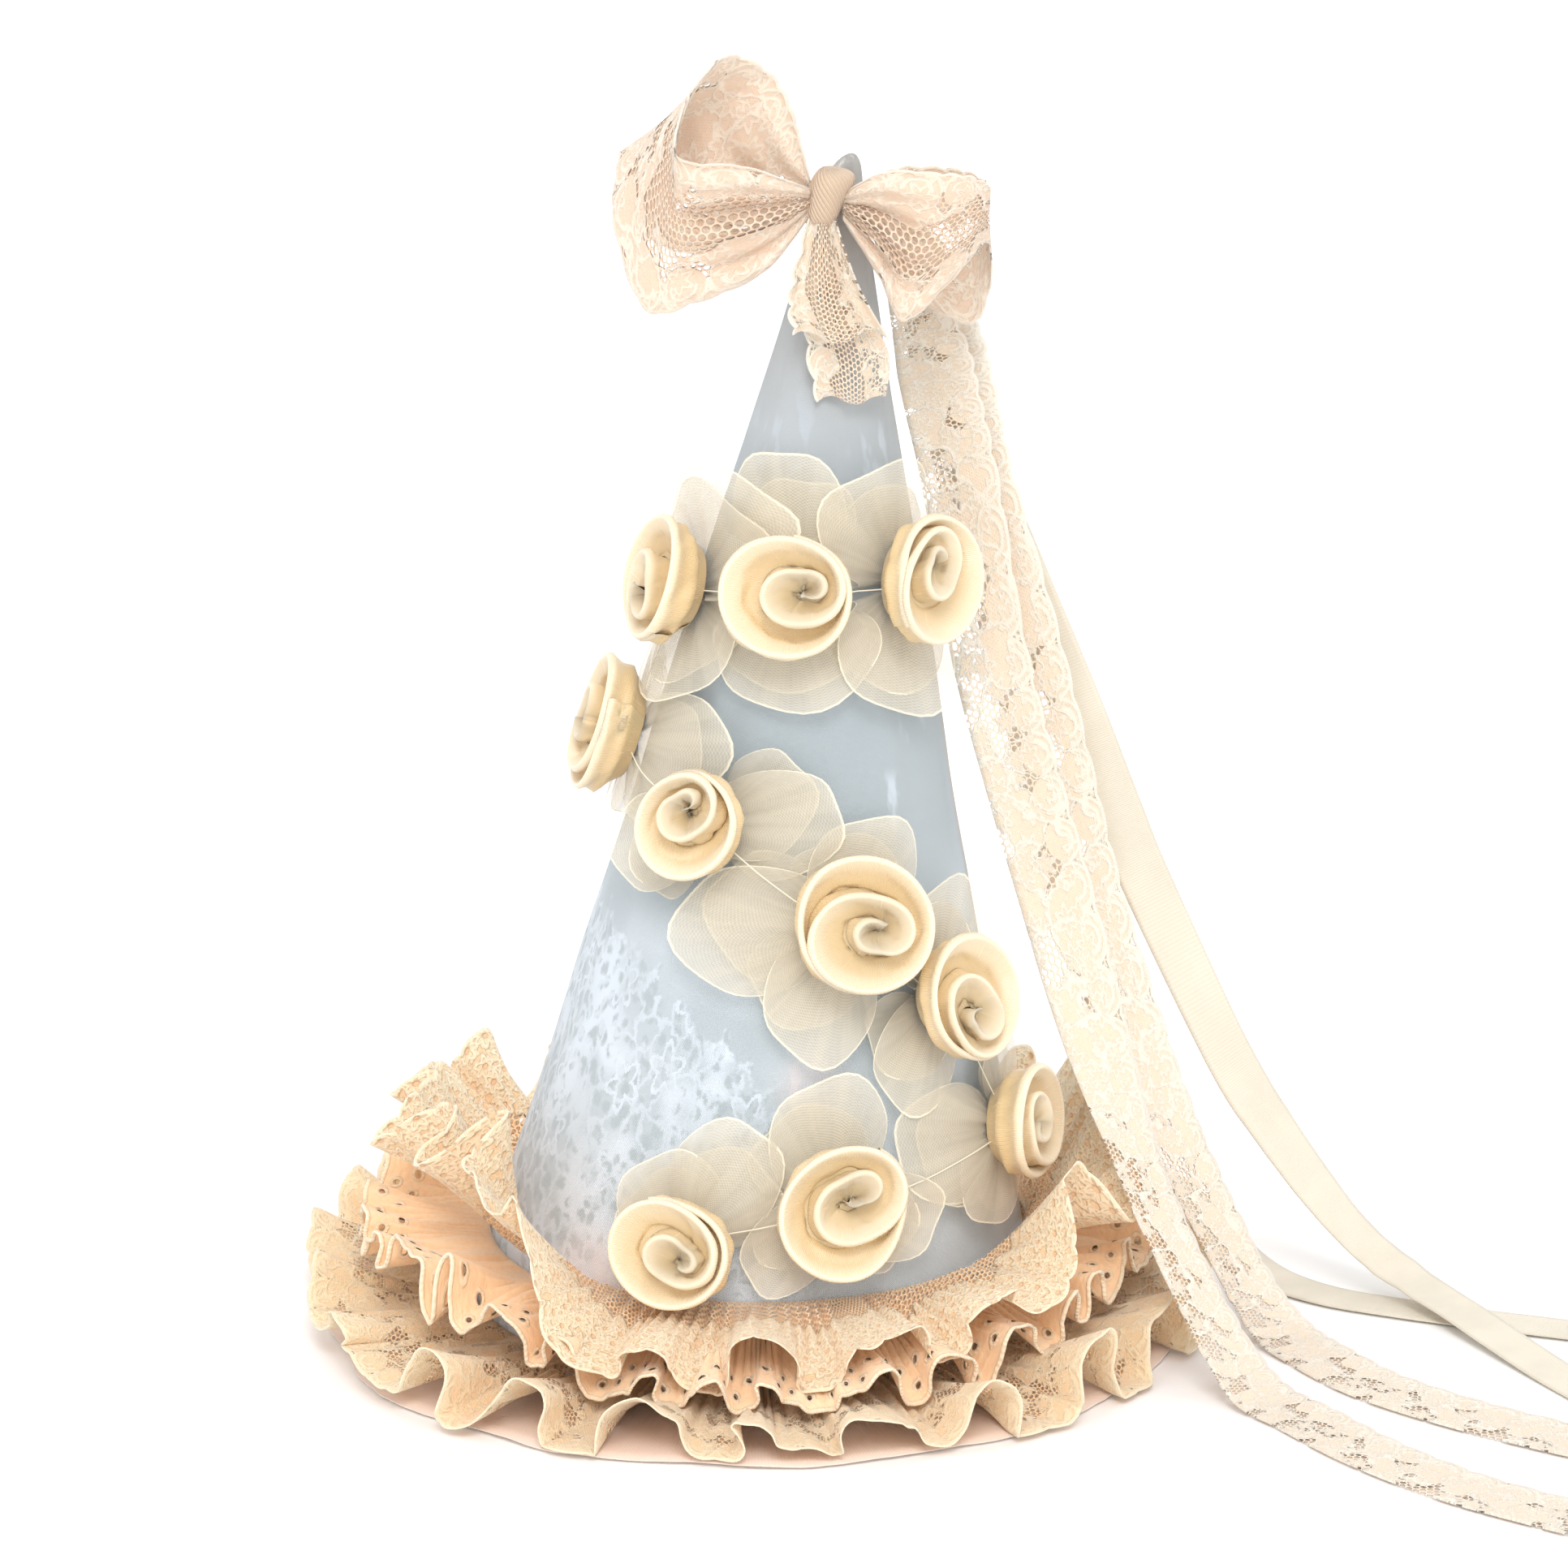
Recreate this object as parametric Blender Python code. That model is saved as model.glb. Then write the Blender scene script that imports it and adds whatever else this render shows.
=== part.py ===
"""Cone party hat with a lace bow, a garland of satin roses and a ruffled brim.

Metres, +Z up. The origin is the middle of the cone's rim, on the surface that the hat rests on.
The hat faces -Y, and its ribbons trail to +X. Turns are degrees round Z from +X, so -90 is the front.
"""
import math
from collections import namedtuple

import bmesh
import bpy
from mathutils import Vector, noise

MM = 0.001
GAP = 0.3 * MM

# Driving dimensions of the cone
RIM_RADIUS = 68.0 * MM
CONE_TAPER = 0.2375  # radius lost for each unit of height
CONE_LEAN = 0.0755  # sideways drift of the axis for each unit of height, towards +X
CONE_WALL = 1.6 * MM
CONE_SIDES = 30
CONE_HEIGHTS = [0.0, 48.0, 96.0, 144.0, 192.0, 232.0, 262.0]  # rings of the outer face, in mm
TIP_RINGS = [(270.0, 4.1), (275.0, 2.6)]  # height and radius of the pinched tip, in mm
TIP_HEIGHT = 277.0 * MM
HOLLOW_HEIGHT = 258.0 * MM
CREASE_DEPTH = 0.7 * MM
SEAM_TURN = -6.0
SEAM_RAISE = 1.0 * MM

# Cloth and ribbon
CLOTH = 1.0 * MM
ROOT_CLEARANCE = 0.9 * MM  # middle of a ruffle's sewn edge, off the cone
ROSE_STAND_OFF = 5.2 * MM  # back of a rose, off the cone
PETAL_LAYERS = (1.6 * MM, 3.8 * MM)  # middle of the organza near the rose, off the cone
PETAL_LIFT_LIMIT = 0.3 * MM  # most that a petal of the inner layer rises

# How steeply the ruffles stand round the cone, in degrees above the surface. Below 0 they hang outwards.
Stand = namedtuple("Stand", "turn angle")
STANDS = [
    Stand(-180, 48), Stand(-164, 52), Stand(-150, 60), Stand(-138, 56), Stand(-122, 10), Stand(-108, -14),
    Stand(-76, -16), Stand(-60, -8), Stand(-44, 18), Stand(-24, 38), Stand(6, 42), Stand(54, 6),
    Stand(120, 8), Stand(150, 32),
]

# The gathered layers of the brim, from the lowest to the highest. Lengths in mm, share is of STANDS.
# calm is the share of the width with no folds, swing rounds the crests out sideways, and low_cut is the
# width lost where a layer lies low.
Ruffle = namedtuple("Ruffle", "name root width share rise wave calm folds columns swing low_cut colour")
RUFFLES = [
    Ruffle("lace_flounce", 5.0, 41.0, 0.06, 4.0, 6.0, 0.46, 23, 6, 1.6, 0.0, (0.90, 0.66, 0.46)),
    Ruffle("eyelet_frill", 19.5, 30.0, 0.36, -10.4, 3.0, 0.46, 33, 4, 0.8, 0.0, (0.90, 0.64, 0.44)),
    Ruffle("upper_ruffle", 23.0, 34.0, 1.0, 4.4, 4.6, 0.14, 19, 7, 2.0, 0.22, (0.91, 0.67, 0.47)),
]
LOW_ANGLE = 34.0  # below this stand a layer starts to lie low
FLOUNCE_RADII = (68.0 * MM + GAP, 102.0 * MM)
FLOUNCE_FRONT = 5.0 * MM  # how much further it reaches at the front
FLOUNCE_COLUMNS = 48
FLOUNCE_SCALLOP = 1.0 * MM

# Roses: where each sits on the cone, its radius and how far its spiral is turned. Lengths in mm.
Rose = namedtuple("Rose", "name turn height radius spin")
ROSES = [
    Rose("rose_01", -42, 181, 14.3, 20), Rose("rose_02", -98, 180, 14.7, 250),
    Rose("rose_03", -158, 177, 14.6, 120), Rose("rose_04", -170, 141, 15.5, 200),
    Rose("rose_05", -119, 128, 12.4, 310), Rose("rose_06", -73, 106, 16.2, 60),
    Rose("rose_07", -43, 86, 14.3, 100), Rose("rose_08", -25, 52, 12.6, 160),
    Rose("rose_09", -75, 44, 15.4, 220), Rose("rose_10", -107, 35, 13.4, 280),
]
ROSE_TURNS = 2.2
ROSE_ROWS_PER_TURN = 9
ROSE_DEPTH = 12.0 * MM

# Organza loops: petals spread behind each rose. aim is 0 to the right and 90 up, as seen from outside.
Petal = namedtuple("Petal", "rose aim reach spread lift")
PETALS = [
    Petal("rose_01", 112, 27, 42, 3), Petal("rose_01", -100, 30, 44, 3),
    Petal("rose_02", 92, 32, 44, 0), Petal("rose_02", -85, 26, 52, 0),
    Petal("rose_03", 62, 28, 46, 5), Petal("rose_03", -62, 26, 44, 4),
    Petal("rose_04", 90, 22, 40, 0), Petal("rose_04", -5, 33, 32, 0), Petal("rose_04", -100, 23, 38, 0),
    Petal("rose_05", 216, 25, 40, 4), Petal("rose_05", 14, 29, 36, 2),
    Petal("rose_06", 176, 37, 28, 0), Petal("rose_06", 242, 31, 30, 0), Petal("rose_06", 78, 25, 48, 0),
    Petal("rose_07", 92, 27, 42, 4), Petal("rose_07", 222, 27, 32, 2),
    Petal("rose_08", 180, 35, 30, 0), Petal("rose_08", 62, 25, 38, 0), Petal("rose_08", 245, 24, 36, 0),
    Petal("rose_09", 106, 29, 36, 2), Petal("rose_09", -24, 26, 34, 3), Petal("rose_09", 214, 25, 32, 2),
    Petal("rose_10", 58, 30, 38, 0), Petal("rose_10", 122, 21, 42, 0),
]
PETAL_COLUMNS = 20
PETAL_WAIST = 7.0  # radius of the organza between its petals, in mm
PETAL_ROUNDNESS = 0.5
PETAL_FLARE = 6.0

# The bow. Each station of a loop has its point on the mouth's edge and on the far edge, in mm.
Station = namedtuple("Station", "mouth_x mouth_y mouth_z far_x far_y far_z")
LEFT_LOOP = [
    Station(11.2, -12.5, 271, 11.2, -12.5, 265), Station(-1, -18, 277, 3, -18, 253),
    Station(-17, -23, 281, -12, -21, 246.5), Station(-17, -21, 292, -24, -19, 244.5),
    Station(-15.5, -17, 300, -31, -11, 262), Station(-12, -12, 304, -31, -3, 273),
    Station(-1, -6, 300.5, -28, 1, 270), Station(8.5, -5.5, 290, -20, 1, 256),
    Station(11.8, -6.5, 281, -4, -1, 255), Station(11.2, -8.2, 272, 11.2, -8.2, 266),
]
RIGHT_LOOP = [
    Station(22.6, -12.5, 264, 22.6, -12.5, 270), Station(29, -19, 252, 30, -16, 275.5),
    Station(34.5, -25, 243, 42, -19, 275.8), Station(46, -21, 252.5, 50, -16, 274.5),
    Station(53, -14.5, 259, 54, -11, 271.5), Station(54.5, -8, 248, 50, -7, 274),
    Station(50, -3.5, 238, 42, -5, 275), Station(37, -3, 245, 32, -5.5, 274.5),
    Station(27.4, -6.5, 259, 26.5, -7.5, 270), Station(22.6, -9.0, 265, 22.6, -9.0, 269),
]
LOOP_STRIPS = 3  # faces across the ribbon
LOOP_PLEAT = 1.6 * MM
KNOT_MIDDLE = (16.9 * MM, -10.9 * MM, 268.6 * MM)
KNOT_RADII = (4.9 * MM, 5.6 * MM, 7.2 * MM)
KNOT_SIDES = 10
KNOT_RINGS = 4

# Short front tails: height, left and right edges and how far in front of the axis, in mm
TailRow = namedtuple("TailRow", "height left right front ripple")
TAILS = {
    "bow_tail_upper": [TailRow(260.5, 14, 20, -15.2, 0.2), TailRow(252, 9.5, 23, -17.5, 0.8),
                       TailRow(245, 8.2, 27, -19.5, 1.2), TailRow(238.5, 9.5, 31, -20.5, 1.4)],
    "bow_tail_lower": [TailRow(258.5, 14, 20, -12.2, 0.1), TailRow(246, 12, 24.5, -14.2, 0.3),
                       TailRow(234, 12.4, 31, -16.6, 0.6), TailRow(223.5, 14.6, 30.5, -17.6, 0.8)],
}
TAIL_COLUMNS = 6

# Trailing ribbons: a route through each ribbon's middle in mm, and which way its face looks:
# turn as above, lift 0 upright and 90 lying flat.
Way = namedtuple("Way", "x y z turn lift")
LACE_WIDTH = 18.0 * MM
CREAM_WIDTH = 12.0 * MM
STREAMERS = {
    "lace_streamer_a": (LACE_WIDTH, [
        Way(31, 1, 261, -90, 0), Way(36, 2, 246, -90, 0), Way(41, 2.5, 232, -90, 0),
        Way(44, 2.5, 219, -90, 0), Way(48.5, 2, 199, -90, 0), Way(55.5, 0, 159, -88, 0),
        Way(63, -4, 131, -84, 0), Way(71, -9, 104, -78, 4), Way(80, -18, 73, -62, 12),
        Way(87, -28, 53, -44, 22), Way(94, -40, 37, -34, 34), Way(102, -51, 22, -30, 50),
        Way(110, -60, 9, -30, 68), Way(117, -68, 2, -34, 84), Way(126, -79, 0.9, -45, 90),
        Way(139, -99, 0.9, -45, 90), Way(157, -119, 0.9, -45, 90), Way(178, -135, 0.9, -45, 90),
        Way(196, -147, 0.9, -45, 90),
    ]),
    "lace_streamer_b": (LACE_WIDTH, [
        Way(31, 4.5, 264, -90, 0), Way(38, 6, 249, -90, 0), Way(44, 6.5, 234, -90, 0),
        Way(47.5, 6.5, 221, -90, 0), Way(52, 6, 200, -90, 0), Way(62.5, 5, 164, -90, 0),
        Way(71, 3.5, 131, -84, 0), Way(79, 1, 100, -76, 4), Way(91, -3, 65, -60, 14),
        Way(101, -8, 42, -46, 26), Way(110, -14, 24, -40, 42), Way(118, -21, 10, -38, 62),
        Way(125, -29, 2.4, -40, 82), Way(132, -40, 0.9, -45, 90), Way(144, -59, 0.9, -45, 90),
        Way(162, -76, 0.9, -45, 90), Way(183, -91, 0.9, -45, 90), Way(200, -101, 0.9, -45, 90),
    ]),
    "cream_streamer_c": (CREAM_WIDTH, [
        Way(30, 9, 266, -90, 0), Way(38, 10.5, 247, -90, 0), Way(46, 11, 222, -90, 0),
        Way(54, 10.5, 198, -90, 0), Way(63, 10, 176, -90, 0), Way(76, 9, 145, -88, 0),
        Way(85, 8.5, 122, -84, 2), Way(94, 8, 100, -80, 6), Way(114, 7, 58, -70, 18),
        Way(126, 6, 38.5, -64, 30), Way(140, 4, 20, -60, 48), Way(151, 0, 10, -60, 64),
        Way(160, -8, 5.4, -64, 78), Way(168, -20, 3.8, -60, 88), Way(177, -36, 2.2, -60, 90),
        Way(187, -54, 0.9, -60, 90), Way(198, -74, 0.9, -60, 90),
    ]),
    "cream_streamer_d": (CREAM_WIDTH, [
        Way(21, 7.4, 264, 90, 8), Way(19.4, 13.8, 240, 90, 12), Way(17, 22.5, 204, 90, 12),
        Way(15, 32.5, 162, 90, 12), Way(14, 43, 118, 90, 14), Way(16, 53, 80, 88, 22),
        Way(22, 64, 58, 80, 42), Way(31, 76, 48, 70, 58), Way(44, 88, 38, 62, 50), Way(60, 100, 22, 56, 36),
        Way(74, 106, 8, 50, 60), Way(87, 102, 1.4, 40, 88), Way(99, 86, 0.9, 20, 90),
        Way(109, 64, 0.9, 10, 90), Way(114.5, 44, 0.9, 0, 90), Way(118.6, 26, 0.9, -10, 90),
        Way(126, 10, 0.9, -40, 90), Way(138, -2, 0.9, -80, 90), Way(154, -10, 0.9, -80, 90),
        Way(172, -17, 0.9, -80, 90), Way(192, -24, 0.9, -80, 90), Way(203, -27.5, 0.9, -80, 90),
    ]),
}
STREAMER_ROWS = 25
GATHERED = 0.35  # width left where a ribbon leaves the knot
GATHER_SHARE = 0.14  # share of the route over which it opens out

# Colours and finish: base colour, roughness
CONE_LOOK = ((0.62, 0.71, 0.79), 0.85)
SATIN_LOOK = ((0.94, 0.86, 0.66), 0.35)
ORGANZA_LOOK = ((0.86, 0.81, 0.64), 0.45)
BOW_LOOK = ((0.88, 0.72, 0.56), 0.85)
LACE_LOOK = ((0.88, 0.76, 0.64), 0.85)
CREAM_LOOK = ((0.87, 0.82, 0.70), 0.5)
BRIM_ROUGHNESS = 0.88


def clear_scene():
    for thing in list(bpy.data.objects):
        bpy.data.objects.remove(thing, do_unlink=True)


def material(name, look):
    colour, roughness = look
    finish = bpy.data.materials.new(name)
    finish.use_nodes = True
    shader = finish.node_tree.nodes["Principled BSDF"]
    shader.inputs["Base Color"].default_value = (*colour, 1.0)
    shader.inputs["Roughness"].default_value = roughness
    shader.inputs["Metallic"].default_value = 0.0
    return finish


def skin(rows, wrap=False, first=None, last=None):
    """A mesh over rows of points. wrap closes each row into a ring; first and last close the ends."""
    bm = bmesh.new()
    grid = [[bm.verts.new(point) for point in row] for row in rows]
    count = len(grid[0])
    steps = count if wrap else count - 1
    for lower, upper in zip(grid, grid[1:]):
        for i in range(steps):
            j = (i + 1) % count
            bm.faces.new((lower[i], lower[j], upper[j], upper[i]))
    for point, row in ((first, grid[0]), (last, grid[-1])):
        if point is not None:
            pole = bm.verts.new(point)
            for i in range(steps):
                bm.faces.new((pole, row[i], row[(i + 1) % count]))
    bmesh.ops.recalc_face_normals(bm, faces=bm.faces)
    return bm


def add_body(name, bm, look, wall=None):
    """Makes the named object. wall turns an open sheet into cloth of that thickness."""
    mesh = bpy.data.meshes.new(name)
    bm.to_mesh(mesh)
    bm.free()
    mesh.shade_smooth()
    body = bpy.data.objects.new(name, mesh)
    mesh.materials.append(material(name, look))
    bpy.context.scene.collection.objects.link(body)
    if wall:
        thicken = body.modifiers.new("cloth", "SOLIDIFY")
        thicken.thickness = wall
        thicken.offset = 0.0
    return body


def eased(share):
    share = min(max(share, 0.0), 1.0)
    return share * share * (3.0 - 2.0 * share)


def round_table(turn, rows, value):
    """A smooth value round the hat from rows that hold a turn each."""
    turn = (turn + 180.0) % 360.0 - 180.0
    for i, row in enumerate(rows):
        following = rows[(i + 1) % len(rows)]
        end = following.turn + (360.0 if following.turn <= row.turn else 0.0)
        if row.turn <= turn <= end:
            share = eased((turn - row.turn) / (end - row.turn))
            return value(row) * (1.0 - share) + value(following) * share
    return value(rows[0])


def spline(points, share):
    """A point at a share of a smooth curve through equal-length tuples."""
    place = min(max(share, 0.0), 1.0) * (len(points) - 1)
    i = min(int(place), len(points) - 2)
    t = place - i
    before, start, end, after = (points[min(max(i + k, 0), len(points) - 1)] for k in (-1, 0, 1, 2))
    return [
        0.5 * (2 * b + (c - a) * t + (2 * a - 5 * b + 4 * c - d) * t * t + (3 * b - a - 3 * c + d) * t ** 3)
        for a, b, c, d in zip(before, start, end, after)
    ]


def wander_round(angle, bends, seed):
    """Smooth seeded unevenness round the hat, about -1 to 1. It closes on itself."""
    radius = bends / math.pi
    place = Vector((radius * math.cos(angle), radius * math.sin(angle), seed * 3.7))
    return noise.fractal(place, 0.6, 2.0, 2)


def cone_radius(height):
    return RIM_RADIUS - CONE_TAPER * height


def on_cone(turn, height, off):
    """The point at a distance off the cone's outer face, with the face's outward direction."""
    angle = math.radians(turn)
    climb = CONE_TAPER - CONE_LEAN * math.cos(angle)
    outward = Vector((math.cos(angle), math.sin(angle), climb)).normalized()
    radius = cone_radius(height)
    foot = Vector((CONE_LEAN * height + radius * math.cos(angle), radius * math.sin(angle), height))
    return foot + outward * off, outward


def build_cone():
    """The hollow cloth-covered cone: outer face with soft creases and a lapped seam, and its inner face."""
    def ring(height, radius, creased):
        points = []
        for i in range(CONE_SIDES):
            turn = SEAM_TURN + 360.0 * i / CONE_SIDES
            angle = math.radians(turn)
            shape = radius
            if creased:
                crease = 0.5 + 0.5 * math.sin(3 * angle + 40.0 * height)
                shape -= CREASE_DEPTH * eased(radius / RIM_RADIUS) * crease
                shape += SEAM_RAISE if i == 0 else 0.0
            points.append((CONE_LEAN * height + shape * math.cos(angle), shape * math.sin(angle), height))
        return points

    heights = [h * MM for h in CONE_HEIGHTS]
    outer = [ring(h, cone_radius(h), h > 0.0) for h in heights]
    outer += [ring(h * MM, r * MM, False) for h, r in TIP_RINGS]
    inner = [ring(h, cone_radius(h) - CONE_WALL, False) for h in heights[:-1] + [HOLLOW_HEIGHT]]
    hollow_top = (CONE_LEAN * HOLLOW_HEIGHT, 0.0, HOLLOW_HEIGHT + CONE_WALL)
    tip = (CONE_LEAN * TIP_HEIGHT, 0.0, TIP_HEIGHT)
    bm = skin(inner[::-1] + outer, wrap=True, first=hollow_top, last=tip)
    add_body("cone_shell", bm, CONE_LOOK)


def build_base_flounce():
    """The lowest layer: a flat ring of cloth with a gently scalloped edge, lying on the surface."""
    inner, outer = FLOUNCE_RADII
    rings = []
    for level in (0.0, CLOTH):
        for radius, scallop in ((inner, 0.0), (outer, FLOUNCE_SCALLOP)):
            ring = []
            for i in range(FLOUNCE_COLUMNS):
                angle = math.tau * i / FLOUNCE_COLUMNS
                front = eased((-0.1 - math.sin(angle)) * 1.4) if scallop else 0.0
                reach = radius + FLOUNCE_FRONT * front + scallop * math.sin(12 * angle)
                ring.append((reach * math.cos(angle), reach * math.sin(angle), level))
            rings.append(ring)
    lower_in, lower_out, upper_in, upper_out = rings
    bm = skin([lower_in, lower_out, upper_out, upper_in, lower_in], wrap=True)
    bmesh.ops.remove_doubles(bm, verts=bm.verts, dist=0.01 * MM)
    bmesh.ops.recalc_face_normals(bm, faces=bm.faces)
    add_body("base_flounce", bm, (RUFFLES[0].colour, BRIM_ROUGHNESS))


def ruffle_point(layer, angle, share):
    """A point of a gathered layer: share 0 at its sewn edge and 1 at its free edge."""
    turn = math.degrees(angle)
    stand = round_table(turn, STANDS, lambda row: row.angle)
    tilt = math.radians(layer.share * stand + layer.rise)
    loose = max(0.0, (share - layer.calm) / (1.0 - layer.calm)) ** 1.2
    beat = layer.folds * angle + 0.7 * math.sin(3 * angle + layer.root) + 0.4 * math.sin(7 * angle)
    beat += 2.6 * wander_round(angle, layer.folds * 0.45, layer.root)
    size = layer.wave * (1.0 + 0.25 * math.sin(5 * angle + layer.root)) * (0.7 + 0.45 * math.sin(tilt))
    size *= 1.0 + 0.55 * wander_round(angle, layer.folds * 0.8, layer.root + 3.0)
    width = layer.width * (1.0 - layer.low_cut * max(0.0, 1.0 - stand / LOW_ANGLE))
    reach = share * width * (1.0 + 0.03 * math.sin(4 * angle + layer.root))
    reach *= 1.0 + 0.07 * share * wander_round(angle, 16.0, layer.root + 14.0)
    sway = -loose * layer.swing * MM * math.sin(2 * beat) / RIM_RADIUS
    height = layer.root + reach * math.sin(tilt)
    radius = reach * math.cos(tilt)
    ripple = loose * size * math.sin(beat)
    height += ripple * math.cos(tilt)
    radius -= ripple * math.sin(tilt)
    root, _ = on_cone(turn, layer.root * MM, ROOT_CLEARANCE)
    outward = Vector((math.cos(angle + sway), math.sin(angle + sway), 0.0))
    return Vector((root.x, root.y, 0.0)) + outward * radius * MM + Vector((0.0, 0.0, max(height, 2.2) * MM))


def build_ruffles():
    for layer in RUFFLES:
        columns = layer.folds * layer.columns
        shares = (0.0, 0.55, 1.0)
        angles = [math.tau * i / columns for i in range(columns)]
        rows = [[ruffle_point(layer, angle, share) for angle in angles] for share in shares]
        add_body(layer.name, skin(rows, wrap=True), (layer.colour, BRIM_ROUGHNESS), CLOTH)


def rose_frame(rose):
    """Where a rose's back sits, with its right, up and outward directions."""
    foot, outward = on_cone(rose.turn, rose.height * MM, ROSE_STAND_OFF)
    right = Vector((0.0, 0.0, 1.0)).cross(outward).normalized()
    return foot, right, outward.cross(right), outward


def build_roses():
    """Each rose is one folded ribbon wound in a spiral that opens outwards, with a rolled lip."""
    count = round(ROSE_TURNS * ROSE_ROWS_PER_TURN)
    for rose in ROSES:
        foot, right, up, outward = rose_frame(rose)
        size = rose.radius * MM
        rows = []
        for i in range(count + 1):
            share = i / count
            angle = math.radians(rose.spin) + math.tau * ROSE_TURNS * share
            spoke = right * math.cos(angle) + up * math.sin(angle)
            lip = size * (0.18 + 0.90 * share ** 0.65)
            root = size * (0.10 + 0.42 * share)
            depth = ROSE_DEPTH * (1.0 - 0.42 * share ** 1.5)
            rows.append([
                foot + spoke * root + outward * 0.5 * CLOTH,
                foot + spoke * (lip * 0.86 + root * 0.14) + outward * depth * 0.80,
                foot + spoke * lip + outward * depth,
            ])
        add_body(rose.name, skin(rows), SATIN_LOOK, CLOTH)


def build_organza():
    """Behind each rose its organza loops, one sheet with a petal for each loop."""
    for order, rose in enumerate(ROSES):
        petals = [petal for petal in PETALS if petal.rose == rose.name]
        layer = order % 2
        rows = []
        for ring in (0.45, 1.0):
            row = []
            for i in range(PETAL_COLUMNS):
                angle = 360.0 * i / PETAL_COLUMNS
                reach, lift = PETAL_WAIST, 0.0
                for petal in petals:
                    away = abs((angle - petal.aim + 180.0) % 360.0 - 180.0)
                    turned = min(away / (petal.spread + PETAL_FLARE), 1.0) * 90.0
                    share = max(0.0, math.cos(math.radians(turned)))
                    reach += (petal.reach - PETAL_WAIST) * share ** PETAL_ROUNDNESS
                    lift = max(lift, petal.lift * share)
                reach = min(reach, max(petal.reach for petal in petals)) * ring * MM
                rise = lift * MM * ring * ring if layer else PETAL_LIFT_LIMIT * ring
                height = rose.height * MM + reach * math.sin(math.radians(angle))
                turn = rose.turn + math.degrees(reach * math.cos(math.radians(angle)) / cone_radius(height))
                row.append(on_cone(turn, height, PETAL_LAYERS[layer] + rise)[0])
            rows.append(row)
        middle, _ = on_cone(rose.turn, rose.height * MM, PETAL_LAYERS[layer])
        name = rose.name.replace("rose", "organza")
        add_body(name, skin(rows, wrap=True, first=middle), ORGANZA_LOOK, CLOTH)


def build_bow_loops():
    """The bow's two loops: one ribbon each, out from the knot, round and back to it, with pleats."""
    for name, stations in (("bow_loop_left", LEFT_LOOP), ("bow_loop_right", RIGHT_LOOP)):
        rows = []
        count = 2 * (len(stations) - 1)
        for i in range(count + 1):
            values = spline(stations, i / count)
            mouth, far = Vector(values[:3]) * MM, Vector(values[3:]) * MM
            pinch = math.sin(math.pi * i / count)
            row = []
            for k in range(LOOP_STRIPS + 1):
                share = k / LOOP_STRIPS
                point = mouth.lerp(far, share)
                side = -1 if i < count / 2 else 1
                point.y += LOOP_PLEAT * pinch * (math.sin(math.pi * share) - 0.4) * side
                row.append(point)
            rows.append(row)
        add_body(name, skin(rows), BOW_LOOK, CLOTH)


def build_knot():
    middle = Vector(KNOT_MIDDLE)
    wide, deep, tall = KNOT_RADII
    rings = []
    for k in range(1, KNOT_RINGS + 1):
        level = -math.cos(math.pi * k / (KNOT_RINGS + 1))
        girth = math.sqrt(1.0 - level ** 4)
        ring = []
        for i in range(KNOT_SIDES):
            angle = math.tau * i / KNOT_SIDES
            offset = Vector((wide * girth * math.cos(angle), deep * girth * math.sin(angle), tall * level))
            ring.append(middle + offset)
        rings.append(ring)
    below, above = middle - Vector((0, 0, tall)), middle + Vector((0, 0, tall))
    add_body("bow_knot", skin(rings, wrap=True, first=below, last=above), BOW_LOOK)


def build_tails():
    for name, table in TAILS.items():
        rows = []
        for row in table:
            points = []
            for i in range(TAIL_COLUMNS + 1):
                share = i / TAIL_COLUMNS
                across = row.left + (row.right - row.left) * share
                front = row.front + row.ripple * math.sin(3.0 * math.pi * share)
                points.append((across * MM, front * MM, row.height * MM))
            rows.append(points)
        add_body(name, skin(rows), BOW_LOOK, CLOTH)


def build_streamers():
    """Flat ribbons that hang from the knot and lie on the surface, each along its route."""
    for name, (width, route) in STREAMERS.items():
        rows = []
        for i in range(STREAMER_ROWS + 1):
            share = i / STREAMER_ROWS
            x, y, z, turn, lift = spline(route, share)
            ahead = Vector(spline(route, share + 0.01)[:3]) - Vector(spline(route, share - 0.01)[:3])
            turn, lift = math.radians(turn), math.radians(lift)
            face = Vector((math.cos(turn) * math.cos(lift), math.sin(turn) * math.cos(lift), math.sin(lift)))
            spread = GATHERED + (1.0 - GATHERED) * eased(share / GATHER_SHARE)
            across = ahead.cross(face).normalized() * (0.5 * width * spread)
            middle = Vector((x, y, z)) * MM
            rows.append([middle - across, middle + across])
        add_body(name, skin(rows), LACE_LOOK if "lace" in name else CREAM_LOOK, CLOTH)


def main():
    clear_scene()
    build_cone()
    build_base_flounce()
    build_ruffles()
    build_roses()
    build_organza()
    build_bow_loops()
    build_knot()
    build_tails()
    build_streamers()


main()
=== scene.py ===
"""Cone party hat, dressed: the look of every piece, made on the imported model's frame.

Metres, +Z up. The hat faces -Y and its ribbons trail to +X. Turns are degrees round Z from +X, so
-90 is the front. Each cloth has a UV map with its flat place in metres: along its length, then
across it. The finishes read that map, so weave, net and embroidery keep their real size on a fold.
"""
import logging
import math
from collections.abc import Callable, Iterable, Sequence
from dataclasses import dataclass, field
from enum import Enum
from functools import cache, reduce
from typing import NamedTuple

import bmesh
import bpy
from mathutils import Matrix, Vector, noise


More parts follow.
